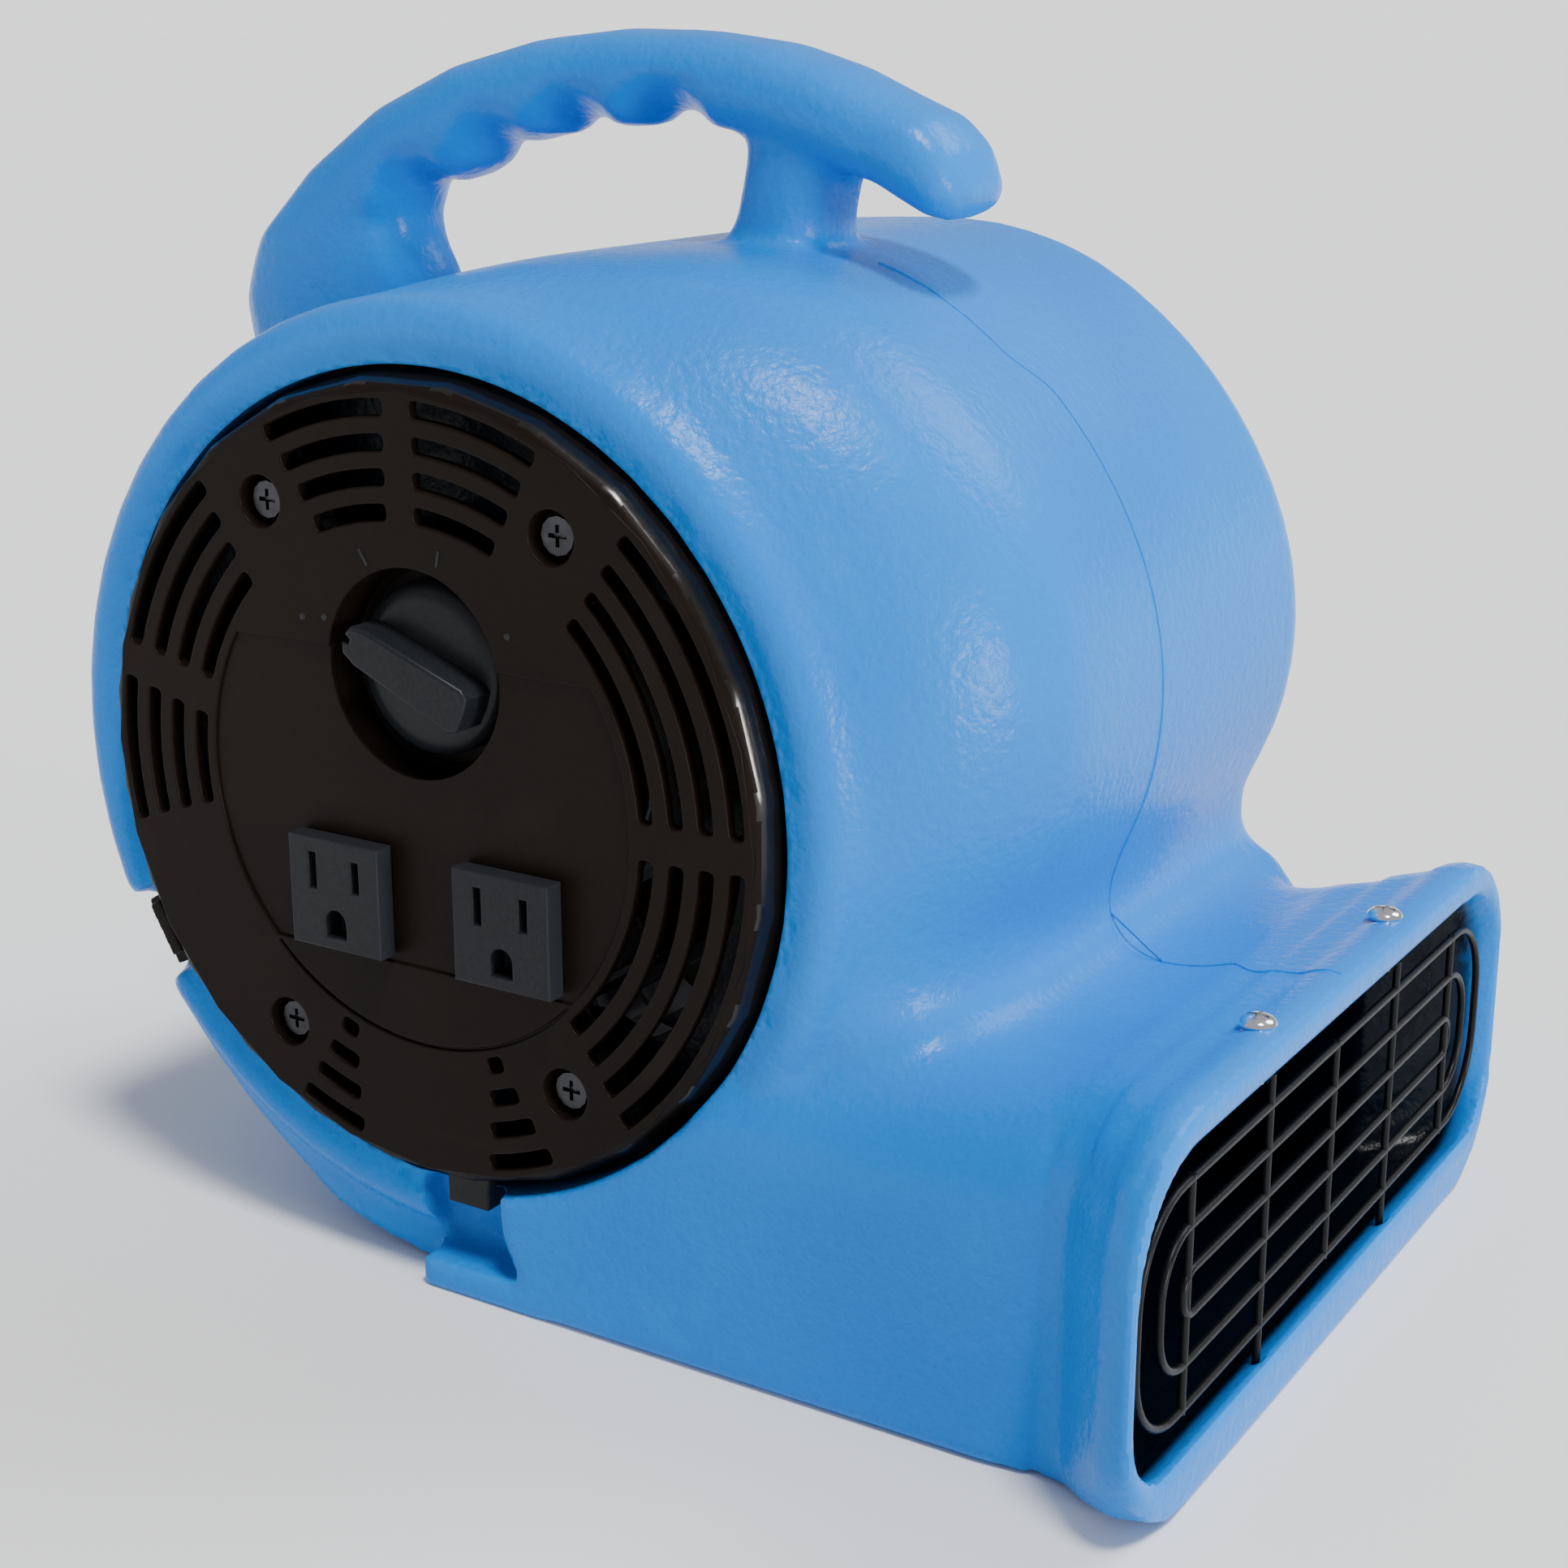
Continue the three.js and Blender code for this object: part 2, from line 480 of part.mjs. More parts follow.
// ---- motor, hung from a pressed steel bracket ---------------------------
const MOTOR_RADIUS = 40;
function bracket() {
  const arm = (deg) => spin(join([box(56, 83, -79.5, -78.3, -6, 6), box(56, 57.5, -79.5, -48, -6, 6),
    box(30, 57.5, -49.5, -48, -6, 6)]), deg);
  const ring = rod(36, -49.5, -48, 0, 0, 28);
  const holes = SCREW_ANGLES.flatMap((a) => {
    const [x, z] = polar(SCREW_CIRCLE, a);
    const [bx, bz] = polar(28, a);
    return [rod(2.3, -90, -75, x, z, 8), rod(4.3, -52, -46, bx, bz, 8)];
  });
  return cut(join([ring, ...SCREW_ANGLES.map(arm)]), [rod(14, -52, -46, 0, 0, 16), ...holes]);
}
add('motor_bracket', bracket(), STEEL());

SCREW_ANGLES.forEach((a, i) => {
  const [x, z] = polar(28, a);
  const sleeve = join([rod(3.9, -50.5, -47.3, x, z, 8), rod(6.5, -51.8, -49.8, x, z, 8)]);
  add(`motor_grommet_${i + 1}`, cut(sleeve, [rod(2.3, -53, -46, x, z, 8)]), RUBBER());
  add(`motor_bolt_${i + 1}`, join([rod(4.2, -54.9, -52.1, x, z, 6), rod(2, -53, -36, x, z, 12)]), STEEL());
});

// One end bell, open towards the stator. The near one is drilled for the mounting bolts.
function bell(y0, y1, isNear) {
  const [floor, mouth] = isNear ? [y0, y1] : [y1, y0];
  const inward = isNear ? 1 : -1;
  const bore = (r, from, to, x, z, sides) => rod(r, Math.min(from, to), Math.max(from, to), x, z, sides);
  const hollow = bore(MOTOR_RADIUS - 3, floor + 12 * inward, mouth + inward, 0, 0, 28);
  const seat = bore(11.3, floor + 2 * inward, mouth + inward, 0, 0, 16);
  const [open, shut] = [floor + 13 * inward, mouth - 3 * inward];
  const windows = [12, 102, 192, 282].map((deg) => spin(box(MOTOR_RADIUS - 6, MOTOR_RADIUS + 2,
    Math.min(open, shut), Math.max(open, shut), -9, 9), deg));
  const bolts = isNear ? SCREW_ANGLES.map((a) => {
    const [x, z] = polar(28, a);
    return rod(2.3, y0 - 1, y0 + 12, x, z, 8);
  }) : [];
  const shaft = rod(4.4, y0 - 1, y1 + 1, 0, 0, 20);
  return cut(rod(MOTOR_RADIUS, y0, y1, 0, 0, 28), [hollow, seat, ...windows, ...bolts, shaft]);
}
add('motor_bell_near', bell(-47, -27, true), CAST());
add('motor_bell_far', bell(-1, 18, false), CAST());
add('stator', cut(rod(MOTOR_RADIUS - 0.4, -26.7, -1.3, 0, 0, 28), [rod(22, -28, 0, 0, 0, 24)]), STEEL());
add('rotor', cut(rod(21.5, -27.5, -0.5, 0, 0, 24), [rod(4.3, -29, 1, 0, 0, 16)]), CAST());
const bearing = (y0) => cut(rod(11, y0, y0 + 7, 0, 0, 16), [rod(4.3, y0 - 1, y0 + 8, 0, 0, 12)]);
add('bearing_near', bearing(-44.7), STEEL());
add('bearing_far', bearing(8.7), STEEL());
add('motor_shaft', rod(4, -46, 46, 0, 0, 20), STEEL());

// ---- blower wheel -------------------------------------------------------
const BLADE_FOOT = WHEEL_RADIUS - 18;   // radius where a blade starts

// One forward-curved blade.
function blade() {
  const steps = 2;
  const front = [];
  const back = [];
  for (let i = 0; i <= steps; i++) {
    const t = i / steps;
    const r = BLADE_FOOT + (WHEEL_RADIUS - 1.5 - BLADE_FOOT) * t;
    const bend = 9 * t * t;
    front.push(polar(r, bend + 0.7));
    back.push(polar(r, bend - 0.7));
  }
  return plate([...back, ...front.reverse()], -44, 44);
}

function wheel() {
  const inner = WHEEL_RADIUS - 6;
  const hoop = (y0) => turned([[inner, y0], [WHEEL_RADIUS, y0], [WHEEL_RADIUS, y0 + 3], [inner, y0 + 3]],
    BLADE_COUNT);
  const disc = rod(WHEEL_RADIUS - 2, 20, 22.5, 0, 0, BLADE_COUNT);
  const hub = rod(11, 20, 38, 0, 0, 24);
  const blades = Array.from({ length: BLADE_COUNT }, (_, i) => spin(blade(), (i * 360) / BLADE_COUNT));
  const body = join([disc, hub, hoop(-46), hoop(43), ...blades]);
  return cut(body, [rod(4.3, 10, 50, 0, 0, 20), post(2.3, 4, 20, 0, 31, 12)]);
}
add('wheel', wheel(), NYLON());
add('wheel_set_screw', post(2, 4.6, 10.5, 0, 31, 12), STEEL());

// ---- far inlet ring -----------------------------------------------------
function inletRing() {
  const ring = turned([[58, 50], [62.5, 72], [65, SIDE_PLANE + GAP], [88, SIDE_PLANE + GAP],
    [88, SIDE_PLANE + 1.5], [63, SIDE_PLANE + 1.5], [60, 72], [55.5, 50]], 36);
  return cut(ring, SCREW_ANGLES.map((a) => {
    const [x, z] = polar(SCREW_CIRCLE, a);
    return rod(2.3, 75, 85, x, z, 8);
  }));
}
add('inlet_ring', inletRing(), BLACK());

// ---- run capacitor ------------------------------------------------------
const can = [[-12, -67], [16, -67], [16, -47], [-12, -47]];
const capacitor = plate(can, -FACE + COVER_SKIN + GAP, -58, 2, 2, 1);
const tabs = [box(-6, -4.8, -59, -52, -60, -54), box(8, 9.2, -59, -52, -60, -54)];
add('capacitor', join([capacitor, ...tabs]), CHARCOAL());

// ---- outlet guard -------------------------------------------------------
// A closed loop of wire in the plane of the outlet.
function wireLoop(half, top, bottom, corner) {
  const rings = [];
  const centre = ductSlice(0, half, top, bottom, corner, corner, 3);
  const n = centre.length;
  for (let i = 0; i < n; i++) {
    const [, y0, z0] = centre[(i + n - 1) % n];
    const [, y1, z1] = centre[(i + 1) % n];
    const len = Math.hypot(y1 - y0, z1 - z0);
    const [ny, nz] = [(z1 - z0) / len, -(y1 - y0) / len];
    rings.push(Array.from({ length: 6 }, (_, k) => {
      const [c, s] = [WIRE * Math.cos(rad(60 * k)), WIRE * Math.sin(rad(60 * k))];
      return [GUARD_X + s, centre[i][1] + ny * c, centre[i][2] + nz * c];
    }));
  }
  return tubeRing(rings);
}

// Joins rings end to end so the last meets the first.
function tubeRing(rings) {
  const [count, n] = [rings.length, rings[0].length];
  const index = [];
  for (let s = 0; s < count; s++) {
    const t = (s + 1) % count;
    for (let i = 0; i < n; i++) {
      const j = (i + 1) % n;
      index.push(s * n + i, t * n + j, s * n + j, s * n + i, t * n + i, t * n + j);
    }
  }
  const g = new THREE.BufferGeometry();
  g.setAttribute('position', new THREE.Float32BufferAttribute(rings.flat(2), 3));
  g.setIndex(index);
  return solid(g);
}

function guard() {
  const loops = [0, 1, 2].map((i) =>
    wireLoop(104 - 11 * i, -51.4 - 10.3 * i, -102.6 + 10.3 * i, 20 - 7.6 * i));
  const uprights = [-80, -39, 0, 39, 80].map((y) => Math.abs(y) === 39
    ? post(WIRE, -112.5, -43.8, GUARD_X, y, 6) : post(WIRE, -103.5, -50.5, GUARD_X, y, 6));
  const eyes = [-39, 39].map((y) => post(4.8, -45.2, -43.4, GUARD_SCREW_X, y, 12));
  const holes = [-39, 39].map((y) => post(1.9, -47, -40, GUARD_SCREW_X, y, 8));
  return cut(join([...loops, ...uprights, ...eyes]), holes);
}
add('outlet_guard', guard(), WIRE_BLACK());

[-39, 39].forEach((y, i) => {
  const top = DUCT_TOP + 2 + GAP;
  const x = GUARD_SCREW_X;
  const head = post(4.2, top, top + 2, x, y, 16, 3.2);
  const cross = [box(x - 2.2, x + 2.2, y - 0.5, y + 0.5, top + 0.9, top + 3),
    box(x - 0.5, x + 0.5, y - 2.2, y + 2.2, top + 0.9, top + 3)];
  add(`guard_screw_${i + 1}`, cut(join([head, post(1.6, -47, top + 0.5, x, y, 8)]), cross), CHROME());
});

export default group;
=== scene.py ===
"""Visual model of a portable air mover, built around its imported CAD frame.

Metres, +Z up, +X the way the air leaves, -Y the control side. Shapes around the drum are
given in millimetres from the drum axis and moved onto the frame by at().
"""
import math

import bmesh
import bpy
import numpy as np
from mathutils import Matrix, Vector
from mathutils.bvhtree import BVHTree


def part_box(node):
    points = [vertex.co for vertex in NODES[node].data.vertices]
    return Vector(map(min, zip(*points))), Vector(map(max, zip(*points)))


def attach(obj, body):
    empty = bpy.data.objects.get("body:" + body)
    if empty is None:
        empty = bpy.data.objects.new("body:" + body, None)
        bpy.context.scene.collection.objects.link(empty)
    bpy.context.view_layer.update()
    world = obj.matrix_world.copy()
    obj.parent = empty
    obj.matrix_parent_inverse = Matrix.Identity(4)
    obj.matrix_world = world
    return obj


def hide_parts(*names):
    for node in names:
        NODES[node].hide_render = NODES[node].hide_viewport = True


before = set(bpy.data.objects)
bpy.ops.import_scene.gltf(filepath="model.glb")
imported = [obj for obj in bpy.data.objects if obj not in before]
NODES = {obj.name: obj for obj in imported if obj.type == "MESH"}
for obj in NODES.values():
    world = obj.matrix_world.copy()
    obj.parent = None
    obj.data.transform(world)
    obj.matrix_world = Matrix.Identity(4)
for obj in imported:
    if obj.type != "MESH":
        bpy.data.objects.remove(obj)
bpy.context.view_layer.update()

MM = 0.001


def middle(node):
    low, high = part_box(node)
    return (low + high) / 2


AXIS = middle("motor_shaft")
AXIS_X, AXIS_Z = AXIS.x, AXIS.z
COVER_LOW, COVER_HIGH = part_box("control_cover")
FACE_Y = COVER_LOW.y / MM                       # flat face of the control cover
COVER_BACK_Y = COVER_HIGH.y / MM
RIM_RADIUS = (COVER_HIGH.x - COVER_LOW.x) / 2 / MM
SEAT_Y = COVER_BACK_Y + 0.3                     # the cover stands this far off its seat
SEAT_RADIUS = RIM_RADIUS + 0.4
SKIN = 3.0                                      # thickness of a cover face
SHAFT = middle("switch_shaft")
KNOB_X = (SHAFT.x - AXIS_X) / MM
KNOB_Z = (SHAFT.z - AXIS_Z) / MM
KNOB_ANGLE = 157.5
BOWL_RADIUS = 24.0
SCREW_CIRCLE = 75.0
SCREW_ANGLES = (57, 123, -123, -57)
FLOOR_Y = FACE_Y + 0.8                          # bottom of the shallow label field
FIELD_RADIUS = 59.5
FIELD_TOP, FIELD_BOTTOM = 31.5, -41.0
WINDOW = 11.5                                   # half the side of the hole behind a receptacle
SQUARE = ((-1, -1), (1, -1), (1, 1), (-1, 1))


def at(x, y, z):
    """A point in millimetres from the drum axis, in the frame."""
    return Vector((AXIS_X + x * MM, y * MM, AXIS_Z + z * MM))


def polar(radius, degrees, x=0.0, z=0.0):
    a = math.radians(degrees)
    return (x + radius * math.cos(a), z + radius * math.sin(a))


def arc(radius, start, end, steps, x=0.0, z=0.0):
    return [polar(radius, start + (end - start) * i / steps, x, z) for i in range(steps + 1)]


# ---- camera, light and floor ------------------------------------------------
def make_camera():
    right = Vector((0.844, 0.537, -0.003)).normalized()
    forward = Vector((-0.516, 0.809, -0.281)).normalized()
    up = right.cross(forward).normalized()
    right = forward.cross(up)
    turn = Matrix((right, up, -forward)).transposed().to_4x4()
    data = bpy.data.cameras.new("camera")
    data.lens, data.sensor_width = 58.7, 36
    data.shift_x, data.shift_y = 0.0169, -0.0113
    camera = bpy.data.objects.new("camera", data)
    camera.matrix_world = Matrix.Translation((0.3269, -0.5120, 0.2891)) @ turn
    bpy.context.scene.collection.objects.link(camera)
    bpy.context.scene.camera = camera


def sun(name, towards, strength, angle, color=(1, 1, 1)):
    """A distant soft light that shines from the direction towards."""
    data = bpy.data.lights.new(name, "SUN")
    data.energy, data.angle, data.color = strength, math.radians(angle), color
    light = bpy.data.objects.new(name, data)
    light.rotation_euler = Vector(towards).to_track_quat("Z", "Y").to_euler()
    bpy.context.scene.collection.objects.link(light)


SKY, HORIZON = 0.45, 1.55                       # strength overhead, and where the sky meets the floor


def make_world():
    """Soft sky light, with a narrow bright band along the horizon that meets the floor."""
    world = bpy.data.worlds.new("studio")
    world.use_nodes = True
    nodes, links = world.node_tree.nodes, world.node_tree.links
    split = nodes.new("ShaderNodeSeparateXYZ")
    band = nodes.new("ShaderNodeMapRange")
    limits = {"From Min": 0.04, "From Max": 0.14, "To Min": HORIZON, "To Max": SKY}
    for name, number in limits.items():
        band.inputs[name].default_value = number
    links.new(nodes.new("ShaderNodeTexCoord").outputs["Generated"], split.inputs[0])
    links.new(split.outputs["Z"], band.inputs["Value"])
    links.new(band.outputs["Result"], nodes["Background"].inputs["Strength"])
    nodes["Background"].inputs["Color"].default_value = (0.97, 0.98, 1.0, 1)
    bpy.context.scene.world = world


def make_stage():
    make_world()
    sun("ceiling", (0.36, -0.22, 1.0), 3.0, 11, (1.0, 0.99, 0.97))
    sun("window", (0.96, -0.18, 0.12), 2.2, 14, (1.0, 0.97, 0.93))
    sun("back", (0.50, 0.70, 0.85), 1.7, 30, (0.96, 0.98, 1.0))
    bpy.ops.mesh.primitive_grid_add(x_subdivisions=2, y_subdivisions=2, size=60, location=(0, 0, 0))
    floor = bpy.context.object
    floor.name = "floor"
    floor.data.materials.append(plain("floor_paper", (0.86, 0.87, 0.88), 0.9))


# ---- materials ----------------------------------------------------------------
class Shader:
    """A node tree with short calls for the few nodes used here."""

    def __init__(self, name):
        self.material = bpy.data.materials.new(name)
        self.material.use_nodes = True
        self.tree = self.material.node_tree
        self.principled = self.tree.nodes["Principled BSDF"]
        self.place = self.tree.nodes.new("ShaderNodeTexCoord").outputs["Object"]

    def link(self, a, b):
        self.tree.links.new(a, b)

    def noise(self, scale, detail=3.0, rough=0.5, stretch=None):
        node = self.tree.nodes.new("ShaderNodeTexNoise")
        node.inputs["Scale"].default_value = scale
        node.inputs["Detail"].default_value = detail
        node.inputs["Roughness"].default_value = rough
        source = self.place
        if stretch:
            mapping = self.tree.nodes.new("ShaderNodeMapping")
            mapping.inputs["Scale"].default_value = stretch
            self.link(self.place, mapping.inputs["Vector"])
            source = mapping.outputs["Vector"]
        self.link(source, node.inputs["Vector"])
        return node.outputs["Fac"]

    def remap(self, value, low, high, out_low, out_high):
        node = self.tree.nodes.new("ShaderNodeMapRange")
        limits = {"From Min": low, "From Max": high, "To Min": out_low, "To Max": out_high}
        for name, number in limits.items():
            node.inputs[name].default_value = number
        self.link(value, node.inputs["Value"])
        return node.outputs["Result"]

    def mix(self, factor, a, b, mode="MIX"):
        node = self.tree.nodes.new("ShaderNodeMix")
        node.data_type, node.blend_type = "RGBA", mode
        for socket, value in ((node.inputs["Factor"], factor), (node.inputs["A"], a), (node.inputs["B"], b)):
            if isinstance(value, (int, float)):
                socket.default_value = value
            elif isinstance(value, tuple):
                socket.default_value = (*value, 1)
            else:
                self.link(value, socket)
        return node.outputs["Result"]

    def edges(self, low=0.52, high=0.6):
        node = self.tree.nodes.new("ShaderNodeNewGeometry")
        return self.remap(node.outputs["Pointiness"], low, high, 0, 1)

    def bump(self, heights):
        """heights is a list of (value, strength, distance), coarse to fine."""
        normal = None
        for value, strength, distance in heights:
            node = self.tree.nodes.new("ShaderNodeBump")
            node.inputs["Strength"].default_value = strength
            node.inputs["Distance"].default_value = distance
            self.link(value, node.inputs["Height"])
            if normal:
                self.link(normal, node.inputs["Normal"])
            normal = node.outputs["Normal"]
        self.link(normal, self.principled.inputs["Normal"])


def plain(name, color, roughness):
    s = Shader(name)
    shade = s.mix(s.remap(s.noise(3), 0.3, 0.7, 0, 1), color, tuple(0.97 * c for c in color))
    s.link(shade, s.principled.inputs["Base Color"])
    s.principled.inputs["Roughness"].default_value = roughness
    return s.material


def moulded(name, color, deep, worn, rough, peel, grain, specular=0.5, dark=None):
    """Moulded plastic: color drifts towards deep in soft clouds and towards worn on edges and in rubs.

    With a dark colour, it turns to that where the mesh's own "shade" value says no light comes.
    """
    s = Shader(name)
    clouds = s.remap(s.noise(14, 2), 0.35, 0.65, 0, 1)
    speckle = s.remap(s.noise(1100, 2), 0.3, 0.7, 0, 0.35)
    body = s.mix(speckle, s.mix(clouds, color, deep), tuple((a + b) / 2 for a, b in zip(color, worn)))
    rubs = s.remap(s.noise(26, 5, 0.6, (1, 3.2, 1)), 0.6, 0.74, 0, 0.45)
    marked = s.mix(rubs, body, worn)
    shade = s.mix(s.mix(0.4, (0, 0, 0), s.edges()), marked, worn)
    if dark:
        node = s.tree.nodes.new("ShaderNodeAttribute")
        node.attribute_name = "shade"
        shade = s.mix(node.outputs["Fac"], shade, dark)
    s.link(shade, s.principled.inputs["Base Color"])
    satin = s.mix(rubs, (rough, rough, rough), (rough + 0.12,) * 3)
    fine = s.remap(s.noise(420, 3), 0.3, 0.7, -0.03, 0.05)
    s.link(s.mix(1.0, satin, fine, "ADD"), s.principled.inputs["Roughness"])
    s.principled.inputs["Specular IOR Level"].default_value = specular
    s.bump([(s.noise(peel[0], 2, 0.4), peel[1], peel[2]), (s.noise(grain[0], 2), grain[1], grain[2])])
    return s.material


def metal(name, color, rough, brushed, tint=0.82):
    s = Shader(name)
    stain = s.remap(s.noise(90, 4, 0.6), 0.4, 0.7, 0, 1)
    s.link(s.mix(stain, color, tuple(tint * c for c in color)), s.principled.inputs["Base Color"])
    lines = s.noise(300, 3, 0.6, brushed)
    s.link(s.remap(lines, 0.3, 0.7, rough * 0.7, rough * 1.5), s.principled.inputs["Roughness"])
    s.principled.inputs["Metallic"].default_value = 1.0
    s.bump([(lines, 0.12, 0.0001)])
    return s.material


BLUE = moulded("blue_polyethylene", (0.001, 0.190, 0.640), (0.001, 0.165, 0.590), (0.004, 0.230, 0.70), 0.28,
               (420, 0.50, 0.0005), (900, 0.30, 0.0003), 0.13, (0.0015, 0.004, 0.009))
BLACK = moulded("black_abs_plastic", (0.0080, 0.0052, 0.0038), (0.0060, 0.0040, 0.0030),
                (0.014, 0.010, 0.008), 0.40, (120, 0.04, 0.0005), (1500, 0.10, 0.0001), 0.07)
RIM_BLACK = moulded("polished_black_abs", (0.0050, 0.0042, 0.0040), (0.0040, 0.0034, 0.0032),
                    (0.010, 0.008, 0.007), 0.20, (120, 0.04, 0.0005), (1500, 0.05, 0.0001), 0.42)
CHARCOAL = moulded("charcoal_abs_plastic", (0.0075, 0.0085, 0.0110), (0.0055, 0.0065, 0.0085),
                   (0.03, 0.033, 0.038), 0.34, (150, 0.04, 0.0005), (1600, 0.12, 0.0001), 0.16)
NYLON = moulded("grey_nylon", (0.045, 0.048, 0.055), (0.035, 0.038, 0.045), (0.12, 0.12, 0.13), 0.5,
                (200, 0.1, 0.0004), (1300, 0.15, 0.0002))
RUBBER = moulded("black_rubber", (0.010, 0.010, 0.010), (0.007, 0.007, 0.007), (0.035, 0.035, 0.035), 0.72,
                 (300, 0.15, 0.0003), (1800, 0.25, 0.0001), 0.3)
WIRE = moulded("coated_wire_black", (0.0030, 0.0034, 0.0040), (0.0020, 0.0023, 0.0028),
               (0.012, 0.013, 0.015), 0.34, (500, 0.2, 0.0002), (1500, 0.15, 0.0001), 0.14)
BLACK_SCREW = metal("black_oxide_steel", (0.055, 0.055, 0.06), 0.28, (1, 1, 1), 0.7)
CHROME = metal("chrome_plate", (0.85, 0.85, 0.87), 0.12, (1, 1, 1), 0.92)
STEEL = metal("zinc_plated_steel", (0.56, 0.58, 0.60), 0.34, (1, 1, 6))
CAST = metal("cast_aluminium", (0.50, 0.51, 0.53), 0.45, (1, 1, 1))


# ---- mesh helpers ---------------------------------------------------------------
def as_object(name, mesh):
    obj = bpy.data.objects.new(name, mesh)
    bpy.context.scene.collection.objects.link(obj)
    return obj


def from_faces(name, points, faces):
    mesh = bpy.data.meshes.new(name)
    mesh.from_pydata([tuple(p) for p in points], [], faces)
    bm = bmesh.new()
    bm.from_mesh(mesh)
    bmesh.ops.recalc_face_normals(bm, faces=bm.faces)
    bm.to_mesh(mesh)
    bm.free()
    return as_object(name, mesh)


def applied(obj):
    """The object with its modifiers, or its curve, made into a plain mesh."""
    mesh = bpy.data.meshes.new_from_object(obj.evaluated_get(bpy.context.evaluated_depsgraph_get()))
    mesh.name = obj.name
    plain_obj = as_object(obj.name, mesh)
    name = obj.name
    plain_obj.matrix_world = obj.matrix_world.copy()
    bpy.data.objects.remove(obj)
    plain_obj.name = name
    return plain_obj


def shaded(obj, angle):
    obj.data.shade_smooth()
    obj.data.set_sharp_from_angle(angle=math.radians(angle))
    return obj


def joined(name, parts):
    bm = bmesh.new()
    for part in parts:
        part.data.transform(part.matrix_world)
        bm.from_mesh(part.data)
        bpy.data.objects.remove(part)
    mesh = bpy.data.meshes.new(name)
    bm.to_mesh(mesh)
    bm.free()
    return as_object(name, mesh)


def plate(name, outline, holes, front, back, bevel=0.3, steps=2):
    """A plate between y = front and y = back with its edges rounded, from (x, z) outlines in millimetres."""
    data = bpy.data.curves.new(name, "CURVE")
    data.dimensions, data.fill_mode = "2D", "BOTH"
    data.extrude = ((back - front) / 2 - bevel) * MM
    data.bevel_depth, data.offset = bevel * MM, -bevel * MM
    data.bevel_resolution = steps
    for points in (outline, *holes):
        spline = data.splines.new("POLY")
        spline.points.add(len(points) - 1)
        for point, (x, z) in zip(spline.points, points):
            point.co = (x * MM, z * MM, 0, 1)
        spline.use_cyclic_u = True
    obj = as_object(name, data)
    obj.matrix_world = Matrix.Translation(at(0, (front + back) / 2, 0)) @ Matrix.Rotation(math.pi / 2, 4, "X")
    bpy.context.view_layer.update()
    return applied(obj)


def lathe(name, profile, x=0.0, z=0.0, sides=64, shape=None):
    """A closed (radius, y) profile turned about a line along Y. shape bends the radius by angle."""
    count = len(profile)
    points, faces = [], []
    for i in range(sides):
        a = 360 * i / sides
        for k, (r, y, *blend) in enumerate(profile):
            px, pz = polar(shape(r, a, blend[0]) if shape else r, a, x, z)
            points.append(at(px, y, pz))
            j, m = (i + 1) % sides, (k + 1) % count
            faces.append((i * count + k, j * count + k, j * count + m, i * count + m))
    return from_faces(name, points, faces)


def tube(name, points, radius, closed=False, sides=3):
    data = bpy.data.curves.new(name, "CURVE")
    data.dimensions = "3D"
    data.bevel_depth, data.bevel_resolution, data.use_fill_caps = radius, sides, True
    spline = data.splines.new("POLY")
    spline.points.add(len(points) - 1)
    for point, p in zip(spline.points, points):
        point.co = (*p, 1)
    spline.use_cyclic_u = closed
    return applied(as_object(name, data))


def cleaned_copy(node, name):
    mesh = NODES[node].data.copy()
    bm = bmesh.new()
    bm.from_mesh(mesh)
    bmesh.ops.remove_doubles(bm, verts=bm.verts, dist=1e-6)
    bm.to_mesh(mesh)
    bm.free()
    mesh.materials.clear()
    return as_object(name, mesh)


def with_modifier(obj, kind, **settings):
    modifier = obj.modifiers.new(kind.lower(), kind)
    for key, value in settings.items():
        setattr(modifier, key, value)
    return applied(obj)


def boolean(obj, other, operation):
    result = with_modifier(obj, "BOOLEAN", object=other, operation=operation, solver="MANIFOLD")
    bpy.data.objects.remove(other)
    return result


def relax(mesh, weight, passes, pull=0.6):
    """Moves each vertex towards its neighbours' middle, by its own weight."""
    count = len(mesh.vertices)
    co = np.empty(count * 3)
    mesh.vertices.foreach_get("co", co)
    co = co.reshape(-1, 3)
    edges = np.empty(len(mesh.edges) * 2, np.int64)
    mesh.edges.foreach_get("vertices", edges)
    a, b = edges.reshape(-1, 2).T
    degree = np.maximum(np.bincount(a, minlength=count) + np.bincount(b, minlength=count), 1)
    share = (pull * weight(co))[:, None]
    for _ in range(passes):
        sums = [np.bincount(a, co[b, k], count) + np.bincount(b, co[a, k], count) for k in range(3)]
        total = np.stack(sums, 1)
        co += share * (total / degree[:, None] - co)
    mesh.vertices.foreach_set("co", co.ravel())
    mesh.update()


def softened(node, name, voxel, passes=2):
    """A CAD solid with every edge slightly rounded."""
    obj = with_modifier(cleaned_copy(node, name), "REMESH", mode="VOXEL", voxel_size=voxel * MM)
    relax(obj.data, lambda co: np.ones(len(co)), passes)
    obj.data.shade_smooth()
    return obj


def place(obj, body, slot, material, *nodes):
    obj.data.materials.clear()
    obj.data.materials.append(material)
    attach(obj, body)
    if nodes:
        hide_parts(*nodes)
    return obj


# ---- housing ----------------------------------------------------------------------
def step_up(value, low, high):
    t = np.clip((value - low) / (high - low), 0, 1)
    return t * t * (3 - 2 * t)


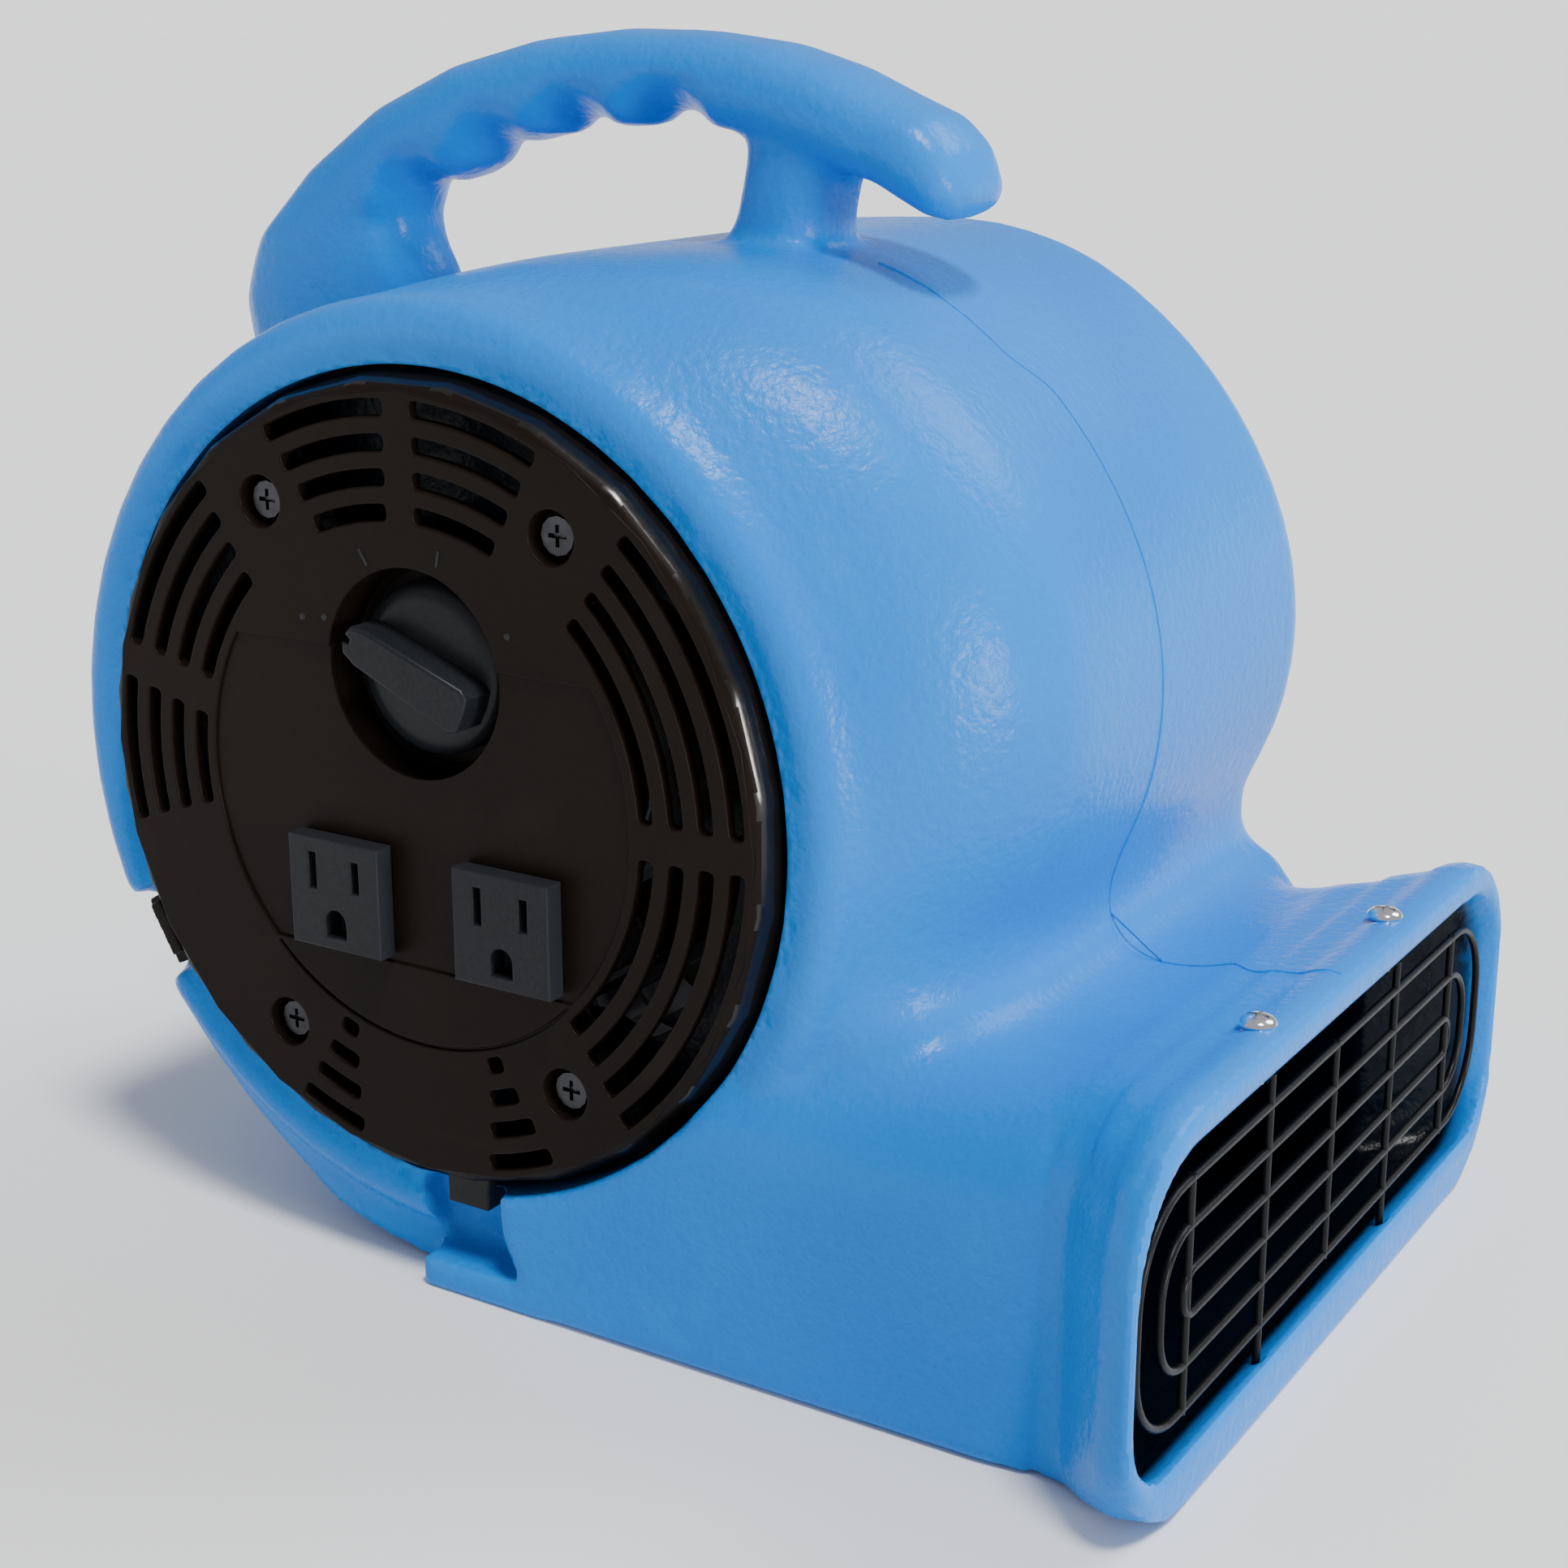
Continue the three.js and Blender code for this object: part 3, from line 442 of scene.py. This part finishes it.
def housing_weight(co):
    """How much each part of the housing is rounded off: most on the drum, little on thin edges."""
    x, y, z = ((co - np.array(AXIS)) / MM).T
    y = co[:, 1] / MM
    r = np.hypot(x, z)
    w = np.ones(len(co))
    grip = (r > 120) & (z > 60)
    back = (x < -90) & (z > 30)
    foot = (r > 100) & (z > 96) & (x > 10) & (x < 72)
    w[(np.abs(y) < 26) & (grip | back | foot)] = 0.13
    w = np.where((y < -79) & (r < 113), 0.2, w)
    w = np.where(y > 79, 0.14, w)
    w *= 1 - 0.86 * step_up(x, 148, 158)
    w *= 1 - 0.6 * step_up(x, 180, 186)
    w *= 1 - 0.85 * step_up(-z, 106, 116)
    w = np.where((x > -14) & (x < 36) & (z < -78) & (y < -70), 0.1, w)
    return w


def spindle(name, profile, x=0.0, z=0.0, sides=180):
    """A solid of round sections along Y, its two ends closed flat.

    The profile has (radius, y) pairs, or (radius, y, rise) where a section sits further from the drum axis.
    """
    count = len(profile)
    reach = math.hypot(x, z) or 1
    centres = [(x + x / reach * sum(rise), z + z / reach * sum(rise)) for _, _, *rise in profile]
    points = [at(centres[k][0], profile[k][1], centres[k][1]) for k in (0, -1)]
    faces = []
    for i in range(sides):
        j = (i + 1) % sides
        for (r, y, *_), centre in zip(profile, centres):
            px, pz = polar(r, 360 * i / sides, *centre)
            points.append(at(px, y, pz))
        row, after = 2 + i * count, 2 + j * count
        faces += [(row + k, after + k, after + k + 1, row + k + 1) for k in range(count - 1)]
        faces += [(0, after, row), (1, row + count - 1, after + count - 1)]
    return from_faces(name, points, faces)


FINGERS = ((-55.5, 119.0, 9.5), (-32, 128.0, 10.5), (-9.0, 133.4, 11), (16, 134.4, 12))


def finger_scoop(x, z, radius):
    """A hollow across the grip whose roof rises towards both sides, as worn in by a finger."""
    sections = []
    for step in range(13):
        y = -20 + step * 40 / 12
        rise = 4.2 * (y / 16) ** 2
        sections.append((radius + rise, y, rise))
    return spindle("scoop", sections, x, z, 40)


def plug(depth_from, depth_to, radius=SEAT_RADIUS):
    return spindle("plug", [(radius, depth_from), (radius, depth_to)])


DUCT = {                                        # outside of the duct, by distance from the drum axis
    "x": (60, 146, 155, 160, 165, 172, 179, 185, 189),
    "half": (92, 92, 91, 90.5, 93, 101, 108, 112, 113),
    "top": (-44, -42, -40, -38, -37.5, -37, -36.5, -34, -35),
    "low_round": (1.5, 1.5, 1.5, 3, 6, 12, 19, 27, 29),
}
DUCT_FLOOR, DUCT_ROUND = -122.0, 26.0


def depth_in_duct(x, y, z):
    """How far a point lies inside the duct's outer surface, in millimetres; below 0 is outside."""
    half, top = np.interp(x, DUCT["x"], DUCT["half"]), np.interp(x, DUCT["x"], DUCT["top"])
    middle_z, height = (top + DUCT_FLOOR) / 2, (top - DUCT_FLOOR) / 2
    corner = np.where(z > middle_z, DUCT_ROUND, np.interp(x, DUCT["x"], DUCT["low_round"]))
    qy = np.abs(y) - (half - corner)
    qz = np.abs(z - middle_z) - (height - corner)
    outside = np.hypot(np.maximum(qy, 0), np.maximum(qz, 0)) + np.minimum(np.maximum(qy, qz), 0)
    return corner - outside


def mark_unlit(mesh):
    """Stores how unlit each vertex is: in the duct, in the drum, and in the seats under the covers."""
    count = len(mesh.vertices)
    co, normal = np.empty(count * 3), np.empty(count * 3)
    mesh.vertices.foreach_get("co", co)
    mesh.vertices.foreach_get("normal", normal)
    x, _, z = ((co.reshape(-1, 3) - np.array(AXIS)) / MM).T
    y = co.reshape(-1, 3)[:, 1] / MM
    r = np.hypot(x, z)
    inward = -(normal[0::3] * x + normal[2::3] * z) / np.maximum(r, 1)
    duct = step_up(186 - x, 0, 5) * step_up(x, 55, 62) * step_up(depth_in_duct(x, y, z), 1.2, 2.2)
    seat = step_up(np.abs(y), -SEAT_Y - 12, -SEAT_Y - 9) * step_up(SEAT_RADIUS - r, -0.35, 0.3)
    seat *= np.where((z > 40) & (y < 0), 0.78, 1.0)
    channel = (z < -86) & (np.abs(x - 11) < 14)
    seat = np.maximum(seat, step_up(SEAT_RADIUS - r, 3, 4) * np.where(channel, 0, 1))
    drum = (r < np.where(z > 30, 111, 139)) & (np.abs(y) < 76) & (inward > 0.5)
    shade = mesh.attributes.new("shade", "FLOAT", "POINT")
    shade.data.foreach_set("value", np.maximum(np.maximum(duct, seat), drum).astype(np.float32))


def mark_flange(mesh):
    """Sinks a groove round the duct behind its lip, and lifts the flange on top that takes the screws."""
    count = len(mesh.vertices)
    co, normal = np.empty(count * 3), np.empty(count * 3)
    mesh.vertices.foreach_get("co", co)
    mesh.vertices.foreach_get("normal", normal)
    co, normal = co.reshape(-1, 3), normal.reshape(-1, 3)
    x, z = (co[:, 0] - AXIS_X) / MM, (co[:, 2] - AXIS_Z) / MM
    outer = step_up(-depth_in_duct(x, co[:, 1] / MM, z), -1.6, -1.2)
    top = step_up(z, -50, -44)
    groove = -0.9 * np.exp(-((x - 157.5) / 1.5) ** 2) * (1 - top)
    flange = 0.8 * step_up(x, 168, 170) * (1 - step_up(x, 183, 187)) * top
    co += normal * ((groove + flange) * outer * MM)[:, None]
    mesh.vertices.foreach_set("co", co.ravel())
    mesh.update()


HOUSING_VOXEL = 1.5
HOUSING_KEPT = 0.335                            # share of the faces kept, for under 200,000


def make_housing():
    obj = cleaned_copy("housing", "housing_shell")
    obj = boolean(obj, plug(FACE_Y + 6, SEAT_Y + 0.6, SEAT_RADIUS + 0.7), "UNION")
    obj = boolean(obj, plug(-SEAT_Y - 0.6, -FACE_Y - 3, SEAT_RADIUS + 0.7), "UNION")
    for x, z, radius in FINGERS:
        obj = boolean(obj, finger_scoop(x, z, radius), "DIFFERENCE")
    obj = with_modifier(obj, "REMESH", mode="VOXEL", voxel_size=HOUSING_VOXEL * MM)
    relax(obj.data, housing_weight, 50)
    mark_flange(obj.data)
    obj = with_modifier(obj, "DECIMATE", ratio=HOUSING_KEPT)
    obj = boolean(obj, plug(-120, SEAT_Y + 1.0), "DIFFERENCE")
    obj = boolean(obj, plug(-SEAT_Y - 1.0, 120), "DIFFERENCE")
    place(shaded(obj, 38), "frame", "blue_pe", BLUE, "housing")
    mark_unlit(obj.data)
    return obj


housing = make_housing()


def make_parting_line():
    """The fine flash ridge where the two mould halves met, with its jog on the drum."""
    surface = BVHTree.FromObject(housing, bpy.context.evaluated_depsgraph_get())
    rays = []
    for angle in range(59, -15, -1):
        x, z = polar(148, angle)
        y = 3.0 - 6.0 * float(step_up(angle, 38, 44))
        rays.append((at(x, y, z), Vector((-x, 0, -z))))
    for x in range(142, 187, 2):
        y = 3.0 - 5.0 * float(step_up(x, 158, 166))
        rays.append((at(x, y, 0), Vector((0, 0, -1))))
    points = [surface.ray_cast(start, way.normalized())[0] for start, way in rays]
    line = tube("parting_line", points, 0.35 * MM, sides=2)
    place(shaded(line, 60), "frame", "blue_pe", BLUE)


make_parting_line()


# ---- covers -------------------------------------------------------------------------
SIDES = 24                                      # flats round the cover face
VENT_ROWS = (64, 71.7, 79.3, 87)
NEAR_VENTS = ((66.5, 86.5, 64.9, 87.5), (93.4, 112.7, 92.4, 116), (135.3, 162.3, 131.8, 163.5),
              (170.4, 190.5, 169.2, 192.7), (3.5, 45.1, 2.7, 47.7), (-47.2, -3.8, -49.6, -2.2),
              (-112, -107.5, -115, -102.6), (-72.5, -68.5, -77.5, -65.2))
FAR_VENTS = ((63, 87, 63, 87), (93, 117, 93, 117), (129, 171, 129, 171), (189, 231, 189, 231),
             (9, 51, 9, 51), (-51, -9, -51, -9), (-87, -63, -87, -63), (243, 267, 243, 267))


def faceted(radius, degrees, blend):
    """Radius of the many-sided rim at an angle: blend 0 follows the flats and blend 1 is round."""
    step = 360 / SIDES
    off = degrees % step - step / 2
    flat = math.cos(math.radians(step / 2)) / math.cos(math.radians(abs(off) - step / 2))
    return radius * (flat + (1 - flat) * blend)


def slot_outline(radius, start, end, width=3.8, corner=1.1):
    """A curved slot with rounded corners, counterclockwise."""
    outer, inner = radius + width / 2, radius - width / 2
    c = math.degrees(corner / radius)
    steps = max(2, round((end - start) / 4))
    points = []
    for r, sign, a0, a1 in ((outer, -1, start, end), (inner, 1, end, start)):
        turn = 1 if a1 > a0 else -1
        points.append(polar(r + sign * corner, a0))
        points.append(polar(r + sign * corner * 0.3, a0 + turn * c * 0.3))
        points += arc(r, a0 + turn * c, a1 - turn * c, steps)
        points.append(polar(r + sign * corner * 0.3, a1 - turn * c * 0.3))
        points.append(polar(r + sign * corner, a1))
    return points


def vent_outlines(groups):
    holes = []
    for a0, b0, a1, b1 in groups:
        for i, r in enumerate(VENT_ROWS):
            t = i / (len(VENT_ROWS) - 1)
            holes.append(slot_outline(r, a0 + (a1 - a0) * t, b0 + (b1 - b0) * t))
    return holes


def rim_ring(name):
    y = FACE_Y
    profile = [(90.3, y + 0.1, 0), (91.2, y + 0.4, 0), (92.0, y + 0.95, 0), (92.7, y + 1.8, 0),
               (93.2, y + 2.9, 0.1), (93.7, y + 4.6, 0.2), (94.4, y + 8, 0.6), (RIM_RADIUS, COVER_BACK_Y, 1),
               (92.2, COVER_BACK_Y, 1), (91.0, y + 8, 1),
               (89.4, y + 3.2, 1), (88.9, y + 1.4, 1)]
    return lathe(name, profile, sides=192, shape=faceted)


def screw_tube(name, degrees):
    x, z = polar(SCREW_CIRCLE, degrees)
    y = FACE_Y
    return lathe(name, [(6.0, y + 1.5), (5.9, y + 5.5), (2.3, y + 5.5), (2.3, COVER_BACK_Y - 1.5),
                        (8.4, COVER_BACK_Y - 1.5), (8.4, y + 1.5)], x, z, 40)


def bores():
    return [arc(6.0, 0, 345, 23, *polar(SCREW_CIRCLE, a)) for a in SCREW_ANGLES]


def face_outline():
    step = 360 / SIDES
    return [polar(91.2, step * i) for i in range(SIDES)]


def field_outline(radius, top, bottom, over_bowl):
    """The label field: a disc with its top cut level, and with the knob bowl's edge let in."""
    side_top = math.degrees(math.asin(top / radius))
    side_low = math.degrees(math.asin(max(-1, bottom / radius)))
    bowl = math.degrees(math.asin((top - KNOB_Z) / BOWL_RADIUS))
    rim = arc(BOWL_RADIUS, bowl, 180 - bowl, 24, KNOB_X, KNOB_Z) if over_bowl else \
        arc(BOWL_RADIUS, bowl, -180 - bowl, 24, KNOB_X, KNOB_Z)
    right = arc(radius, side_low, side_top, 20)
    left = arc(radius, 180 - side_top, 180 - side_low, 20)
    return right + rim + left


def place_cover(cover, node):
    """The flat face is satin, and the rounded rim outside it is polished."""
    place(shaded(cover, 32), "frame", "black_abs", BLACK, node)
    cover.data.materials.append(RIM_BLACK)
    for face in cover.data.polygons:
        x, z = (face.center.x - AXIS_X) / MM, (face.center.z - AXIS_Z) / MM
        face.material_index = int(math.hypot(x, z) > 92.0)


def make_front_cover():
    y = FACE_Y
    field = field_outline(FIELD_RADIUS, FIELD_TOP, FIELD_BOTTOM, True)
    groove = slot_outline(FIELD_RADIUS + 0.3, -135, -45, 0.7, 0.2)
    holes = [field, groove, *bores(), *vent_outlines(NEAR_VENTS)]
    face = plate("face", face_outline(), holes, y, y + SKIN, 0.45, 3)
    windows = []
    for node in ("receptacle_left", "receptacle_right"):
        c = middle(node)
        x, z = (c.x - AXIS_X) / MM, (c.z - AXIS_Z) / MM
        windows.append([(x + u * WINDOW, z + v * WINDOW) for u, v in SQUARE])
    field_floor = field_outline(FIELD_RADIUS + 1.5, FIELD_TOP + 0.8, -FIELD_RADIUS - 1.49, False)
    floor = plate("floor_plate", field_floor, windows, FLOOR_Y, y + SKIN - 0.2, 0.15, 1)
    r = BOWL_RADIUS
    inside = [(r + 0.1, y + 1.2), (r - 0.2, -81.5), (r - 1.6, -80.1), (4.8, -80.1)]
    outside = [(4.8, -77.3), (r + 2.3, -77.3), (r + 2.3, y + 1.2)]
    bowl = lathe("bowl", inside + outside, KNOB_X, KNOB_Z, 96)
    tubes = [screw_tube(f"screw_tube_{i}", a) for i, a in enumerate(SCREW_ANGLES)]
    cover = joined("cover_front", [face, floor, rim_ring("rim"), bowl, *tubes])
    return place_cover(cover, "control_cover")


def make_back_cover():
    y = FACE_Y
    inner = [slot_outline(47, q * 90 + 9, q * 90 + 81, 6, 1.6) for q in range(4)]
    face = plate("face", face_outline(), [*bores(), *inner, *vent_outlines(FAR_VENTS)], y, y + SKIN, 0.45, 3)
    tubes = [screw_tube(f"screw_tube_{i}", a) for i, a in enumerate(SCREW_ANGLES)]
    cover = joined("cover_back", [face, rim_ring("rim"), *tubes])
    cover.data.transform(Matrix.Scale(-1, 4, (0, 1, 0)))
    cover.data.flip_normals()
    return place_cover(cover, "far_cover")


make_front_cover()
make_back_cover()


def make_dial_marks():
    y = FACE_Y
    parts = []
    for i, (x, z) in enumerate(((-29.7, 37.7), (-23.2, 38.3), (28.6, 40.2))):
        profile = [(0.01, y - 0.3), (0.5, y - 0.25), (0.8, y), (0.8, y + 0.3), (0.01, y + 0.3)]
        parts.append(lathe(f"dot_{i}", profile, x, z, 20))
    for i, ((x0, z0), (x1, z1)) in enumerate((((-11.8, 54.8), (-9.9, 51.8)), ((10.6, 56.6), (10.0, 53.6)))):
        along = Vector((x1 - x0, z1 - z0)).normalized() * 0.3
        side = Vector((-along.y, along.x))
        a, b = Vector((x0, z0)), Vector((x1, z1))
        corners = [a - along - side, b + along - side, b + along + side, a - along + side]
        parts.append(plate(f"tick_{i}", [tuple(c) for c in corners], [], y - 0.25, y + 0.4, 0.1, 1))
    marks = joined("dial_marks", parts)
    place(shaded(marks, 40), "frame", "charcoal_abs", CHARCOAL)


make_dial_marks()


# ---- knob -----------------------------------------------------------------------------
def make_knob():
    low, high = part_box("knob")
    front, back = low.y / MM, high.y / MM
    skirt = lathe("skirt", [(3.4, back - 3.9), (15.5, back - 3.9), (18.4, back - 3.3), (19.6, back - 2.2),
                            (20, back - 0.8), (20, back), (9.5, back), (9.5, back - 2.4), (3.4, back - 2.4)],
                  KNOB_X, KNOB_Z, 72)
    bar = [(-15, -5.6), (13.5, -4.6), (17.4, -3.4), (18.4, -1.1), (16.6, -0.5), (16.6, 0.5), (18.4, 1.1),
           (17.4, 3.4), (13.5, 4.6), (-15, 5.6), (-17.2, 4.2), (-17.6, 0), (-17.2, -4.2)]
    turned = []
    for u, v in bar:
        radius, angle = math.hypot(u, v), math.degrees(math.atan2(v, u))
        turned.append(polar(radius, angle + KNOB_ANGLE, KNOB_X, KNOB_Z))
    grip = plate("grip", turned, [], front, back - 2.0, 0.9, 4)
    knob = joined("knob_body", [skirt, grip])
    place(shaded(knob, 40), "selector", "charcoal_abs", CHARCOAL, "knob")


make_knob()


# ---- receptacles ------------------------------------------------------------------------
def make_receptacle(node, name):
    low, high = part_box(node)
    x0, x1 = (low.x - AXIS_X) / MM, (high.x - AXIS_X) / MM
    z0, z1 = (low.z - AXIS_Z) / MM, (high.z - AXIS_Z) / MM
    x, z, y = (x0 + x1) / 2, (z0 + z1) / 2, low.y / MM
    half = (x1 - x0) / 2
    square = [(x + u * half, z + v * half) for u, v in SQUARE]
    blades = [[(x - 7.4, z + 1), (x - 5.3, z + 1), (x - 5.3, z + 9.6), (x - 7.4, z + 9.6)],
              [(x + 5.3, z + 1.6), (x + 7.4, z + 1.6), (x + 7.4, z + 9), (x + 5.3, z + 9)]]
    ground = arc(3, 180, 0, 12, x, z - 6.6) + [(x + 3, z - 10.2), (x - 3, z - 10.2)]
    rim = plate("rim", square, [*blades, ground], y, y + 5.4, 0.5, 3)
    body = plate("body", [(x + (a - x) * 0.84, z + (b - z) * 0.84) for a, b in square], [], y + 5.3,
                 high.y / MM, 0.6, 1)
    place(shaded(joined(name, [rim, body]), 40), "frame", "charcoal_abs", CHARCOAL, node)


make_receptacle("receptacle_left", "outlet_block_left")
make_receptacle("receptacle_right", "outlet_block_right")


# ---- outlet guard -------------------------------------------------------------------------
def make_guard():
    low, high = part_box("outlet_guard")
    wire = 0.95
    x = high.x - 1.5 * MM
    loops = []
    for i in range(3):
        half = high.y / MM - 1.5 - 11 * i
        top, bottom, corner = -51.4 - 10.3 * i, -102.6 + 10.3 * i, 20 - 7.6 * i
        points = []
        for cy, cz, start in ((half - corner, top - corner, 0), (corner - half, top - corner, 90),
                              (corner - half, bottom + corner, 180), (half - corner, bottom + corner, 270)):
            points += [(x, u * MM, AXIS_Z + v * MM) for u, v in arc(corner, start, start + 90, 10, cy, cz)]
        loops.append(tube(f"loop_{i}", points, wire * MM, True))
    for y in (-80, -39, 0, 39, 80):
        long = abs(y) == 39
        z0, z1 = (-112.3, -44.2) if long else (-103.5, -50.5)
        ends = [(x, y * MM, AXIS_Z + z * MM) for z in (z0, z1)]
        loops.append(tube(f"upright_{y}", ends, wire * MM))
    eye_x = middle("guard_screw_1").x
    for y in (-39, 39):
        ring = [(eye_x + u * MM, (y + v) * MM, AXIS_Z - 44.3 * MM) for u, v in arc(3.4, 0, 345, 23)]
        loops.append(tube(f"eye_{y}", ring, 0.9 * MM, True))
    guard = joined("guard_wires", loops)
    place(shaded(guard, 50), "frame", "coated_wire", WIRE, "outlet_guard")


make_guard()


# ---- small parts with softened edges ------------------------------------------------------
def make_dome_screw(node, name):
    """A low domed screw with a cross slot, standing up through the top of the duct."""
    low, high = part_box(node)
    centre, radius, top = (low + high) / 2, (high.x - low.x) / 2 / MM, high.z / MM
    under = top - 2.3
    profile = [(0.3, top), (0.45 * radius, top - 0.15), (0.75 * radius, top - 0.55),
               (0.93 * radius, top - 1.15), (radius, top - 1.8), (0.96 * radius, under), (2, under),
               (2, low.z / MM)]
    count, sides = len(profile), 32
    points, faces = [], []
    for i in range(sides):
        j = (i + 1) % sides
        for r, z in profile:
            u, v = polar(r * MM, 360 * i / sides, centre.x, centre.y)
            points.append((u, v, z * MM))
        row, after = i * count, j * count
        faces += [(row + k, after + k, after + k + 1, row + k + 1) for k in range(count - 1)]
    faces += [[i * count + k for i in range(sides)] for k in (0, count - 1)]
    screw = from_faces(name, points, faces)
    for long, wide in ((5.0, 0.9), (0.9, 5.0)):
        bpy.ops.mesh.primitive_cube_add(size=1, location=(centre.x, centre.y, high.z))
        slot = bpy.context.object
        slot.scale = (long * MM, wide * MM, 1.9 * MM)
        bpy.ops.object.transform_apply(location=True, rotation=False, scale=True)
        screw = boolean(screw, slot, "DIFFERENCE")
    screw.name = name
    place(shaded(screw, 35), "frame", "chrome", CHROME, node)


for number in (1, 2):
    make_dome_screw(f"guard_screw_{number}", f"flange_screw_{number}")
place(softened("cord_gland", "gland_body", 0.4), "frame", "rubber", RUBBER, "cord_gland")
place(softened("edge_clip", "clip_body", 0.5), "frame", "black_abs", BLACK, "edge_clip")

FINISHES = {
    "cover_screw": BLACK_SCREW, "far_screw": BLACK_SCREW,
    "switch_shaft": STEEL, "switch_body": NYLON, "switch_nut": STEEL,
    "motor_bracket": STEEL, "motor_grommet": RUBBER, "motor_bolt": STEEL, "motor_bell": CAST, "stator": STEEL,
    "rotor": CAST, "bearing": STEEL, "motor_shaft": STEEL, "wheel": NYLON, "wheel_set_screw": STEEL,
    "inlet_ring": BLACK, "capacitor": CHARCOAL, "cord_gland": RUBBER, "edge_clip": BLACK, "housing": BLUE,
    "control_cover": BLACK, "far_cover": BLACK, "knob": CHARCOAL, "receptacle": CHARCOAL,
    "outlet_guard": WIRE,
    "guard_screw": CHROME,
}
for node, obj in NODES.items():
    prefix = max((key for key in FINISHES if node.startswith(key)), key=len)
    obj.data.materials.clear()
    obj.data.materials.append(FINISHES[prefix])

make_camera()
make_stage()
